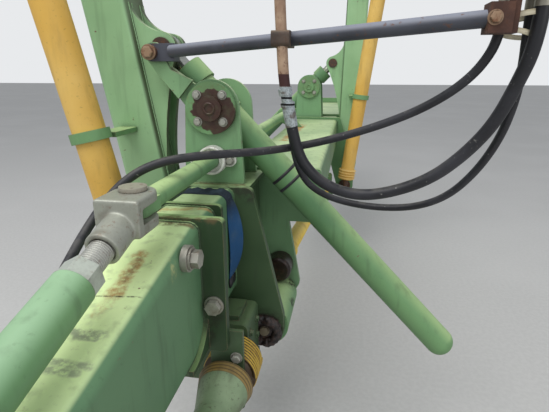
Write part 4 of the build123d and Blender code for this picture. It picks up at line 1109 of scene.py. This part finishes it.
def makeBellows(plan):
    bulge = plan["bulge"]
    long = plan["long"] - 2 * bulge
    place = Matrix.Translation(Vector(plan["place"]) + Vector((0, bulge, 0)))
    place = place @ Matrix.Rotation(math.radians(-90), 4, "X")
    sizes = {"turns": plan["ribs"], "radius": plan["rib"], "tall": long, "crest": bulge}
    finish = finishes["orange_bellows"]
    piece = makeSpiral("driveBellows", sizes, plan["core"], finish, "frame", "orange_bellows", place)
    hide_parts("drive_bellows")


makeAllBolts()
makeBarrelBands(bandPlan)
makeHoseTies(tiePlan)
makeRings("guideLip", lipPlan, lipPlan["rows"], special["guide_ring"], "frame", "zinc")
makeHubCaps(hubPlan)
print("bolts, bands, ties, lip and caps made")
makeSeams("frameSeams", frameSeams(seamPlan), greenFinish("seamPaint", seamPaint), "frame")
makeSeams("collarSeams", collarSeams(seamPlan), special["collar"], "frame")
for station in stations:
    boomBody = station["name"] + "_boom"
    makeSeams(station["name"] + "BoomSeams", boomSeams(station, boomSeamPlan), special[boomBody], boomBody)
print("weld seams made")
makeGrease(greasePlan, greasePlace)
makeForging(forgingPlan)
makeThread(threadPlan)
makeBellows(bellowsPlan)
print("grease, clevis, thread and bellows made")


# Floor and light
stagePlan = {
    "floor": -0.60, "half": 40.0,
    "sky": ((236, 240, 246), 0.62),  # colour and strength
    "backdrop": ((232, 234, 236), 1.0),
    "lamps": [
        {"name": "overcast", "place": (-1.2, -1.0, 4.5), "aim": (0.1, 1.0, 0.0), "size": 4.5, "power": 190},
        {"name": "openSide", "place": (3.2, -2.2, 1.6), "aim": (0.1, 0.8, 0.1), "size": 2.5, "power": 30},
    ],
}


def makeFloor(plan):
    s = Finish("paleFloor")
    grain = s.noise(60, 8, rough=0.6)
    colour = s.mix(grain.rise(0.35, 0.65) * 0.5, (196, 195, 192), (184, 183, 180))
    colour = s.mix(s.noise(0.9, 4).rise(0.4, 0.7) * 0.35, colour, (206, 205, 202))
    half, level = plan["half"], plan["floor"]
    corners = [(-half, -half, level), (half, -half, level), (half, half, level), (-half, half, level)]
    mesh = bpy.data.meshes.new("floor")
    mesh.from_pydata(corners, [], [(0, 1, 2, 3)])
    mesh.materials.append(s.done(colour, 0.85, grain, 0.15, 0.002))
    placed("floor", mesh)


def makeSky(plan):  # the sky lights the frame, the paler backdrop is what the camera sees
    world = bpy.context.scene.world or bpy.data.worlds.new("studioWorld")
    bpy.context.scene.world = world
    world.use_nodes = True
    tree = world.node_tree
    tree.nodes.clear()
    output = tree.nodes.new("ShaderNodeOutputWorld")
    mixer = tree.nodes.new("ShaderNodeMixShader")
    rays = tree.nodes.new("ShaderNodeLightPath")
    tree.links.new(rays.outputs["Is Camera Ray"], mixer.inputs[0])
    for entry, side in ((1, "sky"), (2, "backdrop")):
        colour, strength = plan[side]
        shine = tree.nodes.new("ShaderNodeBackground")
        shine.inputs["Color"].default_value = paintCode(*colour)
        shine.inputs["Strength"].default_value = strength
        tree.links.new(shine.outputs[0], mixer.inputs[entry])
    tree.links.new(mixer.outputs[0], output.inputs[0])


def makeLamps(plan):
    for lamp in plan["lamps"]:
        light = bpy.data.lights.new(lamp["name"], "AREA")
        light.shape = "DISK"
        light.size = lamp["size"]
        light.energy = lamp["power"]
        holder = placed(lamp["name"], light)
        holder.location = lamp["place"]
        look = Vector(lamp["aim"]) - Vector(lamp["place"])
        holder.rotation_euler = look.to_track_quat("-Z", "Y").to_euler()


makeFloor(stagePlan)
makeSky(stagePlan)
makeLamps(stagePlan)
print("floor, sky and lamps made")
